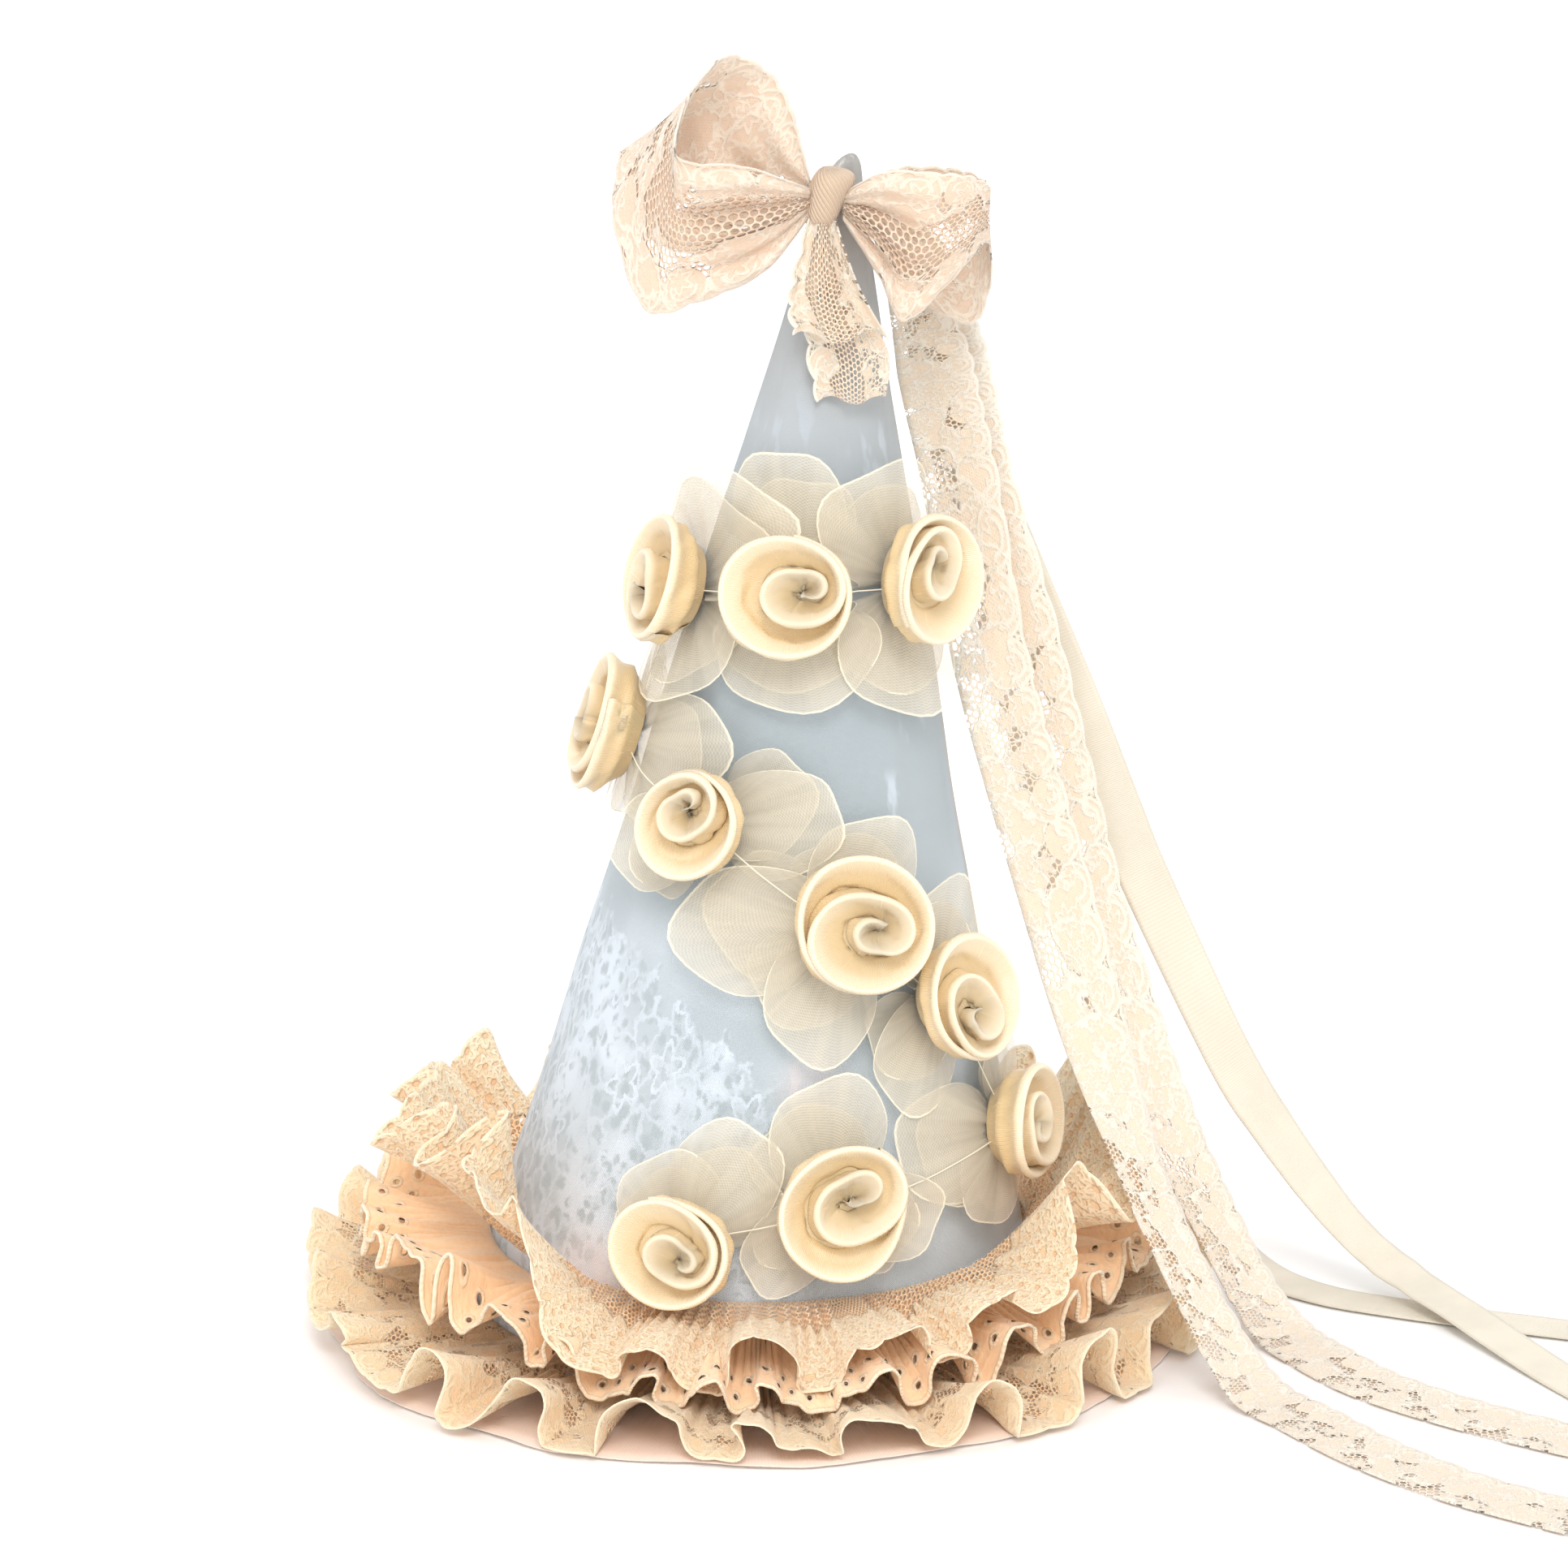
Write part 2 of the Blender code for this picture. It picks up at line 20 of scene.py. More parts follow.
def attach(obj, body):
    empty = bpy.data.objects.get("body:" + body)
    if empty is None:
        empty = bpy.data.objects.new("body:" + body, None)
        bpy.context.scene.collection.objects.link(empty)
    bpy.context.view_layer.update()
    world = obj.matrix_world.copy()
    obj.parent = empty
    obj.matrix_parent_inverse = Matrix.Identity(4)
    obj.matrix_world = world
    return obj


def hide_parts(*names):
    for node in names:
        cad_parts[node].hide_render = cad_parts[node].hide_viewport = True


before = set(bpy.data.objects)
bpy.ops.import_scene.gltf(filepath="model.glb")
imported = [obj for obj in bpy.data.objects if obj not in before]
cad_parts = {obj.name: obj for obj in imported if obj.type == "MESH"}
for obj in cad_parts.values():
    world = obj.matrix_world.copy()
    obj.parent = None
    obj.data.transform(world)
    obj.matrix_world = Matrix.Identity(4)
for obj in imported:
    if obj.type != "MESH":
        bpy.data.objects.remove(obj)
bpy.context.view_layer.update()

log = logging.getLogger("party_hat")

MM = 0.001
BODY = "root"
Colour = tuple[float, float, float]


# ---------------------------------------------------------------- shapes that pieces share


def eased(share: float) -> float:
    """A smooth step from 0 to 1.

    Args:
        share: The way along, clamped to 0..1.

    Returns:
        The eased share.
    """
    share = min(max(share, 0.0), 1.0)
    return share * share * (3.0 - 2.0 * share)


def wander(place: float, seed: float, detail: int = 2) -> float:
    """Smooth seeded noise along a line.

    Args:
        place: Where on the line, one unit for each bend.
        seed: Which line.
        detail: Octaves of finer bends.

    Returns:
        A value of about -1 to 1.
    """
    return noise.fractal(Vector((place, seed * 7.31, seed * 1.7)), 0.6, 2.0, detail)


def wander_round(angle: float, bends: float, seed: float) -> float:
    """Smooth seeded noise on a circle, so that it closes.

    Args:
        angle: Radians round the circle.
        bends: About how many bends fit round it.
        seed: Which circle.

    Returns:
        A value of about -1 to 1.
    """
    radius = bends / math.pi
    place = Vector((radius * math.cos(angle), radius * math.sin(angle), seed * 3.7))
    return noise.fractal(place, 0.6, 2.0, 2)


def spline(points: Sequence[Sequence[float]], share: float) -> list[float]:
    """A point at a share of a smooth curve through equal-length rows.

    Args:
        points: The rows that the curve passes through.
        share: The way along, clamped to 0..1.

    Returns:
        The values at that share.
    """
    place = min(max(share, 0.0), 1.0) * (len(points) - 1)
    i = min(int(place), len(points) - 2)
    t = place - i
    before, start, end, after = (points[min(max(i + k, 0), len(points) - 1)] for k in (-1, 0, 1, 2))
    return [
        0.5 * (2 * b + (c - a) * t + (2 * a - 5 * b + 4 * c - d) * t * t + (3 * b - a - 3 * c + d) * t ** 3)
        for a, b, c, d in zip(before, start, end, after)
    ]


def traced(point: Callable[[float], Vector], steps: int) -> list[Vector]:
    """Points along a line, at even shares from 0 to 1.

    Args:
        point: Gives the point for a share.
        steps: Steps from end to end.

    Returns:
        The points.
    """
    return [point(i / steps) for i in range(steps + 1)]


def length_of(points: Sequence[Vector]) -> float:
    """The length of a line through points, in metres."""
    return sum((b - a).length for a, b in zip(points, points[1:]))


@dataclass(frozen=True)
class ConeForm:
    """The cone's outer face: every trimming is placed from it.

    Attributes:
        rim_radius: Radius at the rim.
        taper: Radius lost for each unit of height.
        lean: Sideways drift of the axis for each unit of height, towards +X.
    """

    rim_radius: float = 68.0 * MM
    taper: float = 0.2375
    lean: float = 0.0755

    def radius(self, height: float) -> float:
        """The radius at a height."""
        return self.rim_radius - self.taper * height

    def spot(self, turn: float, height: float, off: float) -> tuple[Vector, Vector]:
        """A point at a distance off the cone.

        Args:
            turn: Degrees round the cone.
            height: Height of its foot on the cone.
            off: Distance off the outer face.

        Returns:
            The point and the face's outward direction.
        """
        angle = math.radians(turn)
        climb = self.taper - self.lean * math.cos(angle)
        outward = Vector((math.cos(angle), math.sin(angle), climb)).normalized()
        radius = self.radius(height)
        foot = Vector((self.lean * height + radius * math.cos(angle), radius * math.sin(angle), height))
        return foot + outward * off, outward


CONE = ConeForm()
Place = Callable[[float, float], Vector]


def woven(columns: int, rows: int, place: Place, flat: tuple[float, float],
          ring: bool = False) -> bmesh.types.BMesh:
    """A sheet of cloth: an even grid whose points are laid in place one by one.

    Args:
        columns: Faces along the cloth.
        rows: Faces across it.
        place: Gives the point for a share along and a share across.
        flat: Length and width of the flat cloth in metres, for its UV map.
        ring: Whether the cloth's two ends are sewn together.

    Returns:
        The sheet.
    """
    bm = bmesh.new()
    bmesh.ops.create_grid(bm, x_segments=columns, y_segments=rows, size=0.5)
    layer = bm.loops.layers.uv.new("cloth")
    for face in bm.faces:
        for loop in face.loops:
            spot = loop.vert.co
            loop[layer].uv = ((spot.x + 0.5) * flat[0], (spot.y + 0.5) * flat[1])
    for vert in bm.verts:
        vert.co = place(vert.co.x + 0.5, vert.co.y + 0.5)
    if ring:
        bmesh.ops.remove_doubles(bm, verts=bm.verts, dist=0.001 * MM)
    return bm


def finish_piece(name: str, bm: bmesh.types.BMesh, finishes: Sequence["Finish"], slot: str,
                 nodes: Iterable[str], wall: float = 0.0, offset: float = 0.0) -> bpy.types.Object:
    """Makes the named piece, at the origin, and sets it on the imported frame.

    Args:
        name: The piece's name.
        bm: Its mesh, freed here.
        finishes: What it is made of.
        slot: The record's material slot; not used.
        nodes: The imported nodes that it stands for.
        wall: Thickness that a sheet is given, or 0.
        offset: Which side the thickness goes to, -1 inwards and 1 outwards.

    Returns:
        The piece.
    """
    mesh = bpy.data.meshes.new(name)
    bm.to_mesh(mesh)
    bm.free()
    mesh.shade_smooth()
    piece = bpy.data.objects.new(name, mesh)
    for finish in finishes:
        mesh.materials.append(material_of(finish))
    bpy.context.scene.collection.objects.link(piece)
    if wall:
        thick = piece.modifiers.new("cloth", "SOLIDIFY")
        thick.thickness = wall
        thick.offset = offset
    for node in nodes:
        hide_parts(node)
    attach(piece, BODY)
    log.info("%s: %d faces", name, len(mesh.polygons))
    return piece


def area_of(piece: bpy.types.Object) -> float:
    """The area of a piece's cloth, in square metres."""
    return sum(face.area for face in piece.data.polygons)


# ---------------------------------------------------------------- shader wiring


def _sum_of(operation: str, swapped: bool = False) -> Callable[["Signal", object], "Signal"]:
    """An operator of signals.

    Args:
        operation: The sum that it stands for.
        swapped: Whether the other value comes first.

    Returns:
        The operator's method.
    """
    def apply(signal: "Signal", other: object) -> "Signal":
        """The sum of a signal and another value."""
        values = (other, signal) if swapped else (signal, other)
        return signal.wiring.math(operation, *values)

    return apply


class Signal:
    """An output of a shader node, which takes part in sums as a number does."""

    def __init__(self, wiring: "Wiring", socket: bpy.types.NodeSocket) -> None:
        """Keeps the output.

        Args:
            wiring: What adds the nodes of a sum.
            socket: The node's output.
        """
        self.wiring, self.socket = wiring, socket

    __add__ = _sum_of("ADD")
    __sub__ = _sum_of("SUBTRACT")
    __rsub__ = _sum_of("SUBTRACT", swapped=True)
    __mul__ = _sum_of("MULTIPLY")
    __truediv__ = _sum_of("DIVIDE")
    __rtruediv__ = _sum_of("DIVIDE", swapped=True)

    def __abs__(self) -> "Signal":
        """Its size without its sign."""
        return self.wiring.math("ABSOLUTE", self)

    def clamped(self) -> "Signal":
        """The same sum, kept between 0 and 1."""
        self.socket.node.use_clamp = True
        return self


Signals = dict[str, Signal]


class Wiring:
    """Adds shader nodes to one tree and links them."""

    def __init__(self, tree: bpy.types.NodeTree) -> None:
        """Keeps the tree.

        Args:
            tree: The node tree to add to.
        """
        self.tree = tree

    def add(self, kind: str, **settings: object) -> bpy.types.Node:
        """A new node with the given settings.

        Args:
            kind: The node's type, without ShaderNode.
            **settings: Properties of the node.

        Returns:
            The node.
        """
        node = self.tree.nodes.new("ShaderNode" + kind)
        for key, value in settings.items():
            setattr(node, key, value)
        return node

    def feed(self, socket: bpy.types.NodeSocket, value: object) -> None:
        """Links an input to a signal, or sets its value."""
        if isinstance(value, Signal):
            self.tree.links.new(value.socket, socket)
        elif isinstance(value, tuple) and socket.type == "RGBA":
            socket.default_value = (*value, 1.0)
        else:
            socket.default_value = value

    def wired(self, node: bpy.types.Node, **values: object) -> Signals:
        """Feeds a node's named inputs.

        Args:
            node: The node.
            **values: What each input is given.

        Returns:
            The node's outputs by name.
        """
        for key, value in values.items():
            self.feed(node.inputs[key], value)
        return {socket.name: Signal(self, socket) for socket in node.outputs}

    def _sum(self, node: bpy.types.Node, values: Iterable[object], output: int | str = 0) -> Signal:
        """Feeds a node's first inputs in order and gives one of its outputs."""
        for socket, value in zip(node.inputs, values):
            self.feed(socket, value)
        return Signal(self, node.outputs[output])

    def math(self, operation: str, *values: object) -> Signal:
        """A sum on numbers."""
        return self._sum(self.add("Math", operation=operation), values)

    def vector(self, operation: str, *values: object) -> Signal:
        """A sum on vectors that gives a vector."""
        return self._sum(self.add("VectorMath", operation=operation), values)

    def measure(self, operation: str, *values: object) -> Signal:
        """A sum on vectors that gives a number."""
        return self._sum(self.add("VectorMath", operation=operation), values, "Value")

    def scaled(self, vector: Signal, factor: object) -> Signal:
        """A vector made longer by a factor."""
        return self.wired(self.add("VectorMath", operation="SCALE"), Vector=vector, Scale=factor)["Vector"]

    def greatest(self, *values: object) -> Signal:
        """The greatest of several numbers."""
        return reduce(lambda first, second: self.math("MAXIMUM", first, second), values)

    def least(self, *values: object) -> Signal:
        """The least of several numbers."""
        return reduce(lambda first, second: self.math("MINIMUM", first, second), values)

    def step(self, value: object, low: float, high: float, start: float = 0.0, end: float = 1.0) -> Signal:
        """A smooth step.

        Args:
            value: What the step follows.
            low: The value where it begins.
            high: The value where it is over.
            start: The result up to low.
            end: The result from high on.

        Returns:
            The result.
        """
        node = self.add("MapRange", interpolation_type="SMOOTHSTEP")
        return self._sum(node, (value, low, high, start, end))

    def mix(self, share: object, first: object, second: object) -> Signal:
        """A colour between two others."""
        node = self.add("Mix", data_type="RGBA")
        for order, value in ((0, share), (6, first), (7, second)):
            self.feed(node.inputs[order], value)
        return Signal(self, node.outputs[2])

    def split(self, vector: Signal) -> tuple[Signal, ...]:
        """The three parts of a vector."""
        return tuple(self.wired(self.add("SeparateXYZ"), Vector=vector).values())

    def noise(self, vector: Signal, scale: float, detail: float = 2.0) -> Signal:
        """Soft noise, 0 to 1."""
        node = self.add("TexNoise")
        self.wired(node, Vector=vector, Scale=scale, Detail=detail)
        return Signal(self, node.outputs[0])

    def swirl(self, flat: Signal, scale: object, detail: float, size: object) -> Signal:
        """A flat place pushed about by noise.

        Args:
            flat: The place.
            scale: Bends for each metre.
            detail: Octaves of finer bends.
            size: How far it is pushed.

        Returns:
            The moved place.
        """
        node = self.add("TexNoise", noise_dimensions="2D")
        cloud = self.wired(node, Vector=flat, Scale=scale, Detail=detail)
        shift = self.vector("SUBTRACT", cloud["Color"], (0.5, 0.5, 0.5))
        return self.vector("ADD", flat, self.scaled(shift, size))

    def cells(self, feature: str, flat: Signal, scale: object, **values: object) -> Signals:
        """Scattered flat cells.

        Args:
            feature: What the cells measure.
            flat: The flat place.
            scale: Cells for each metre.
            **values: The node's other inputs.

        Returns:
            Its outputs by name.
        """
        node = self.add("TexVoronoi", voronoi_dimensions="2D", feature=feature)
        return self.wired(node, Vector=flat, Scale=scale, **values)

    def group(self, tree: bpy.types.NodeTree, **values: object) -> Signals:
        """A placed node group's outputs by name, with its inputs set."""
        return self.wired(self.add("Group", node_tree=tree), **values)


class Effects:
    """The node groups that several finishes share, each built once."""

    def __init__(self) -> None:
        """Builds the groups, each with its inputs' usual values."""
        self.net = self._group("hexagonal net", self._net, Vector=None, Cell=0.0016, Hole=0.36)
        self.weave = self._group("plain weave", self._weave, Vector=None, Pitch=0.0004)
        self.blossom = self._group("scattered flowers", self._blossom, Vector=None, Spacing=0.005, Size=0.42,
                                   Petals=5.0, Line=0.16, Stray=0.55)
        self.lacework = self._group("lace fields", self._lacework, Vector=None, Cell=0.010, Cord=0.0006,
                                    Share=0.5)
        self.arches = self._group("row of arches", self._arches, Along=0.0, Edge=0.0, Pitch=0.011,
                                  Radius=0.0052, Cord=0.0005)

    @staticmethod
    def _group(name: str, wire: Callable[[Wiring, Signals], Signals],
               **inputs: float | None) -> bpy.types.NodeTree:
        """A new group.

        Args:
            name: The group's name.
            wire: Wires its inputs and gives its outputs by name.
            **inputs: Usual value of each number, or None for a vector.

        Returns:
            The group's tree.
        """
        tree = bpy.data.node_groups.new(name, "ShaderNodeTree")
        for key, value in inputs.items():
            kind = "NodeSocketVector" if value is None else "NodeSocketFloat"
            socket = tree.interface.new_socket(key, in_out="INPUT", socket_type=kind)
            if value is not None:
                socket.default_value = value
        w = Wiring(tree)
        results = wire(w, w.wired(tree.nodes.new("NodeGroupInput")))
        for key in results:
            tree.interface.new_socket(key, in_out="OUTPUT", socket_type="NodeSocketFloat")
        w.wired(tree.nodes.new("NodeGroupOutput"), **results)
        return tree

    @staticmethod
    def _net(w: Wiring, given: Signals) -> Signals:
        """Six-sided net: Thread is 1 on the thread and 0 in a hole."""
        root3 = math.sqrt(3.0)
        even = w.vector("MULTIPLY", w.scaled(given["Vector"], 1.0 / given["Cell"]), (1.0, 1.0 / root3, 0.0))
        reach = []
        for shift in (0.0, 0.5):
            moved = w.vector("FRACTION", w.vector("ADD", even, (shift, shift, 0.0)))
            local = w.vector("SUBTRACT", moved, (0.5, 0.5, 0.0))
            reach.append(w.measure("LENGTH", w.vector("MULTIPLY", local, (1.0, root3, 0.0))))
        return {"Thread": ((w.least(*reach) - given["Hole"]) / 0.07).clamped()}

    @staticmethod
    def _weave(w: Wiring, given: Signals) -> Signals:
        """Plain weave: Height rises and falls over the threads."""
        x, y, _ = w.split(given["Vector"])
        turn = math.tau / given["Pitch"]
        return {"Height": w.math("SINE", x * turn) * w.math("SINE", y * turn) * 0.5 + 0.5}

    @staticmethod
    def _blossom(w: Wiring, given: Signals) -> Signals:
        """Scattered small flowers: Inside, the Outline of their petals and their Eye."""
        cell = w.cells("F1", given["Vector"], 1.0 / given["Spacing"], Randomness=given["Stray"])
        x, y, _ = w.split(w.vector("SUBTRACT", given["Vector"], cell["Position"]))
        reach = w.math("SQRT", x * x + y * y) / (given["Spacing"] * given["Size"])
        _, spin, _ = w.split(cell["Color"])
        angle = w.math("ARCTAN2", y, x) + spin * math.tau
        away = reach - (w.math("COSINE", angle * given["Petals"]) * 0.26 + 0.74)
        return {
            "Inside": w.step(away, -0.06, 0.06, 1.0, 0.0),
            "Outline": w.step(abs(away) / given["Line"], 0.5, 1.0, 1.0, 0.0),
            "Eye": w.step(reach, 0.16, 0.30, 1.0, 0.0),
        }

    @staticmethod
    def _lacework(w: Wiring, given: Signals) -> Signals:
        """Lace fields: some cells Dense and others open, and a Cord on the lines between them."""
        size = given["Cell"]
        moved = w.swirl(given["Vector"], 1.6 / size, 2.0, size * 0.9)
        cell = w.cells("F1", moved, 1.0 / size)
        edge = w.cells("DISTANCE_TO_EDGE", moved, 1.0 / size)
        chance, _, _ = w.split(cell["Color"])
        return {
            "Dense": w.math("LESS_THAN", chance, given["Share"]),
            "Cord": (1.4 - edge["Distance"] / (given["Cord"] / size)).clamped(),
        }

    @staticmethod
    def _arches(w: Wiring, given: Signals) -> Signals:
        """A row of arches along an edge: Line is their cord, Inside the cloth that they hold."""
        pitch, radius = given["Pitch"], given["Radius"]
        local = (w.math("FRACT", given["Along"] / pitch) - 0.5) * pitch
        down = given["Edge"] - radius
        away = w.math("SQRT", local * local + down * down) - radius
        nearest = w.least(abs(away), abs(radius * 0.42 + away))
        line = (1.5 - nearest / given["Cord"]).clamped()
        return {"Line": line * w.math("LESS_THAN", down, 0.0), "Inside": w.math("LESS_THAN", away, 0.0)}


EFFECTS = Effects()


def darker(colour: Colour, share: float) -> Colour:
    """A share of a colour's brightness."""
    return tuple(share * part for part in colour)


class Cloth:
    """A material in the making: its shader, its wiring and the cloth's flat place."""

    def __init__(self, name: str, roughness: float, sheen: float = 0.0, specular: float = 0.3,
                 glow: float = 0.0) -> None:
        """Starts the material.

        Args:
            name: The material's name.
            roughness: How matt the surface is where nothing changes it.
            sheen: Weight of the soft fibre sheen.
            specular: Strength of the gloss.
            glow: Share of the light that goes through the fibres.
        """
        self.material = bpy.data.materials.new(name)
        self.material.use_nodes = True
        self.w = Wiring(self.material.node_tree)
        self.shader = self.material.node_tree.nodes["Principled BSDF"]
        for key, value in (("Roughness", roughness), ("Sheen Weight", sheen), ("Sheen Roughness", 0.5),
                           ("Specular IOR Level", specular), ("Subsurface Weight", glow),
                           ("Subsurface Scale", 0.0012), ("Subsurface Radius", (0.7, 0.85, 1.0))):
            self.feed(key, value)
        self.flat = self.w.wired(self.w.add("UVMap", uv_map="cloth"))["UV"]
        self.place = self.w.wired(self.w.add("TexCoord"))["Object"]

    def feed(self, name: str, value: object) -> None:
        """Links or sets one of the shader's inputs."""
        self.w.feed(self.shader.inputs[name], value)

    def relief(self, height: Signal, depth: float) -> None:
        """Raises the surface where the height is 1.

        Args:
            height: The height, 0 to 1.
            depth: Depth of the relief in metres.
        """
        bump = self.w.wired(self.w.add("Bump"), Distance=depth, Strength=1.0, Height=height)
        self.feed("Normal", bump["Normal"])


# ---------------------------------------------------------------- finishes


Spots = tuple[tuple[tuple[float, float, float], float], ...]


@dataclass(frozen=True)
class PrintedCotton:
    """Fine powder-blue cotton with a washed white lace print and a lapped seam, for the cone, with a band of
    painted shade round its middle and a tip painted lighter.

    Attributes:
        ground: The blue of the cloth.
        shade: The greyer blue of its soft patches and of the print's ground, also painted as shade in a band
            round the middle between the roses.
        white: The print.
        grey: The cloth of the upper half.
        tip: The greyer cream of the very tip, painted lighter as painted light against the shade of the bow
            round it.
        blush: The pink patches of the print.
        seam: The turned edge along the seam.
        gap: The dark between the threads.
        seam_along: Where the seam is on the flat cloth, in metres.
        white_spots: Middle and radius of the print's stray patches.
        pink_spots: Middle and radius of its pink patches.
    """

    ground: Colour = (0.66, 0.73, 0.78)
    shade: Colour = (0.48, 0.54, 0.57)
    white: Colour = (0.77, 0.84, 0.91)
    grey: Colour = (0.80, 0.80, 0.79)
    tip: Colour = (0.88, 0.86, 0.82)
    blush: Colour = (0.84, 0.77, 0.77)
    seam: Colour = (0.56, 0.53, 0.50)
    gap: Colour = (0.38, 0.45, 0.52)
    seam_along: float = 0.2065
    white_spots: Spots = (
        ((0.004, -0.016, 0.214), 0.017), ((0.031, -0.012, 0.208), 0.013), ((0.041, -0.022, 0.150), 0.009),
        ((0.033, -0.030, 0.133), 0.008), ((0.050, -0.040, 0.052), 0.010), ((-0.020, 0.045, 0.110), 0.035))
    pink_spots: Spots = (
        ((0.014, -0.052, 0.070), 0.012), ((-0.040, -0.050, 0.024), 0.016), ((-0.022, -0.060, 0.016), 0.014))

    def make(self) -> bpy.types.Material:
        """The material."""
        cloth = Cloth("printed_cotton", 0.85, sheen=0.12)
        w = cloth.w
        x, _, z = w.split(cloth.place)
        along, _, _ = w.split(cloth.flat)
        lower = self._lower(cloth, x, z)
        fade = w.step(w.noise(cloth.flat, 60.0), 0.30, 0.62, 0.70, 1.0)
        streaks = w.step(w.noise(w.vector("MULTIPLY", cloth.place, (1.0, 1.0, 0.25)), 230.0, 3.0), 0.50, 0.62)
        stray = self._patches(cloth, self.white_spots, 0.4, 0.7) * streaks
        white = w.greatest(lower * self._lace(cloth) * fade, stray)
        pink = self._patches(cloth, self.pink_spots, 0.3, 0.85) * w.step(streaks, 0.0, 1.0, 0.6, 1.0)
        tone = w.mix(lower * 0.70, self._ground(cloth, z), self.shade)
        tone = w.mix(white, tone, self.white)
        tone = w.mix(pink, tone, self.blush)
        tone = w.mix(w.step(abs(along - self.seam_along), 0.0016, 0.0034, 0.85, 0.0), tone, self.seam)
        weave = w.group(EFFECTS.weave, Vector=cloth.flat, Pitch=0.00052)["Height"]
        cloth.feed("Base Color", w.mix(weave * 0.12 + 0.91, self.gap, tone))
        cloth.relief(w.noise(cloth.flat, 900.0) * 0.8 + weave, 0.00014)
        return cloth.material

    def _ground(self, cloth: Cloth, z: Signal) -> Signal:
        """The cloth's colour: soft greyer patches, a painted shade band round the middle between the roses,
        greyer towards the top, and the greyer cream tip painted lighter as painted light.
        """
        w = cloth.w
        soft = w.step(w.noise(cloth.place, 26.0), 0.42, 0.66)
        # Painted shade: a band round the middle of the cone, between the roses and organza, is mixed towards
        # the greyer blue.
        middle = w.step(z, 0.092, 0.125) * w.step(z, 0.150, 0.170, 1.0, 0.0)
        tone = w.mix(w.greatest(soft * 0.7, middle * 0.9), self.ground, self.shade)
        tone = w.mix(w.step(z, 0.190, 0.235, 0.0, 0.55), tone, self.grey)
        # Painted light: the very tip is painted lighter to lift the shade that the bow casts on it.
        return w.mix(w.step(z, 0.236, 0.264, 0.0, 0.90), tone, self.tip)

    @staticmethod
    def _lower(cloth: Cloth, x: Signal, z: Signal) -> Signal:
        """Where the print covers the lower left of the cone, up to a slanting ragged edge."""
        w = cloth.w
        below = x * -0.85 + 0.076 - z
        ragged = w.noise(cloth.flat, 160.0, 3.0) * 0.030 + (below - 0.016)
        return w.step(ragged, 0.0, 0.004) * w.step(x, 0.026, 0.006)

    @staticmethod
    def _lace(cloth: Cloth) -> Signal:
        """The print itself: net-like cells, blots, scrolls and flower outlines."""
        w = cloth.w
        fuzzy = w.swirl(cloth.flat, 1500.0, 1.0, 0.0011)
        cell = w.cells("SMOOTH_F1", fuzzy, 235.0, Smoothness=0.35, Randomness=0.95)
        cells = w.step(w.noise(cloth.flat, 120.0) * 0.9 + (cell["Distance"] - 0.45), 0.24, 0.50)
        blots = w.step(w.noise(fuzzy, 75.0, 3.0), 0.56, 0.62)
        flowers = w.group(EFFECTS.blossom, Vector=fuzzy, Spacing=0.021, Size=0.30, Petals=5.0, Line=0.16,
                          Stray=0.9)
        scrolls = w.group(EFFECTS.lacework, Vector=fuzzy, Cell=0.0080, Cord=0.0010, Share=0.0)
        thin = w.step(w.noise(cloth.flat, 38.0), 0.44, 0.56)
        return w.greatest(cells * (thin * 0.65 + 0.35), blots * thin, scrolls["Cord"] * 0.8,
                          flowers["Outline"])

    @staticmethod
    def _patches(cloth: Cloth, spots: Spots, core: float, most: float) -> Signal:
        """Round patches on the cone.

        Args:
            cloth: The cloth.
            spots: Middle and radius of each.
            core: Share of the radius where the patch is full.
            most: How strong it is there.

        Returns:
            The strength at each place.
        """
        w = cloth.w
        return w.greatest(*(
            w.step(w.measure("DISTANCE", cloth.place, middle), radius, radius * core, 0.0, most)
            for middle, radius in spots))


@dataclass(frozen=True)
class Satin:
    """Heavy cream satin ribbon, with painted shade: darker and yellower away from the lip, where it goes down
    into a rose.

    Attributes:
        lip: Colour on the rolled lip: a painted highlight, lighter than the folds.
        depth: Painted shade colour in the folds, down into the rose.
        gleam: Colour of the fine streaks.
        width: Width of the flat ribbon, with the lip along its middle.
        thread: Distance between threads.
    """

    lip: Colour = (0.93, 0.80, 0.60)
    depth: Colour = (0.80, 0.60, 0.33)
    gleam: Colour = (0.92, 0.78, 0.46)
    width: float = 0.040
    thread: float = 0.00035

    def make(self) -> bpy.types.Material:
        """The material."""
        cloth = Cloth("cream_satin", 0.30, sheen=0.2, specular=0.85, glow=0.5)
        w = cloth.w
        along, across, _ = w.split(cloth.flat)
        # Painted shade: the colour runs from the lighter lip colour along the ribbon's middle to the darker
        # depth colour towards both roots.
        down = w.step(abs(across / self.width - 0.5), 0.01, 0.30)
        streaks = w.noise(w.vector("MULTIPLY", cloth.flat, (900.0, 60.0, 1.0)), 1.0)
        cloth.feed("Base Color", w.mix(streaks * 0.08, w.mix(down, self.lip, self.depth), self.gleam))
        cloth.feed("Roughness", streaks * 0.18 + 0.15)
        cloth.relief(streaks * 2.0 + w.math("SINE", along * (math.tau / self.thread)), 0.00004)
        return cloth.material


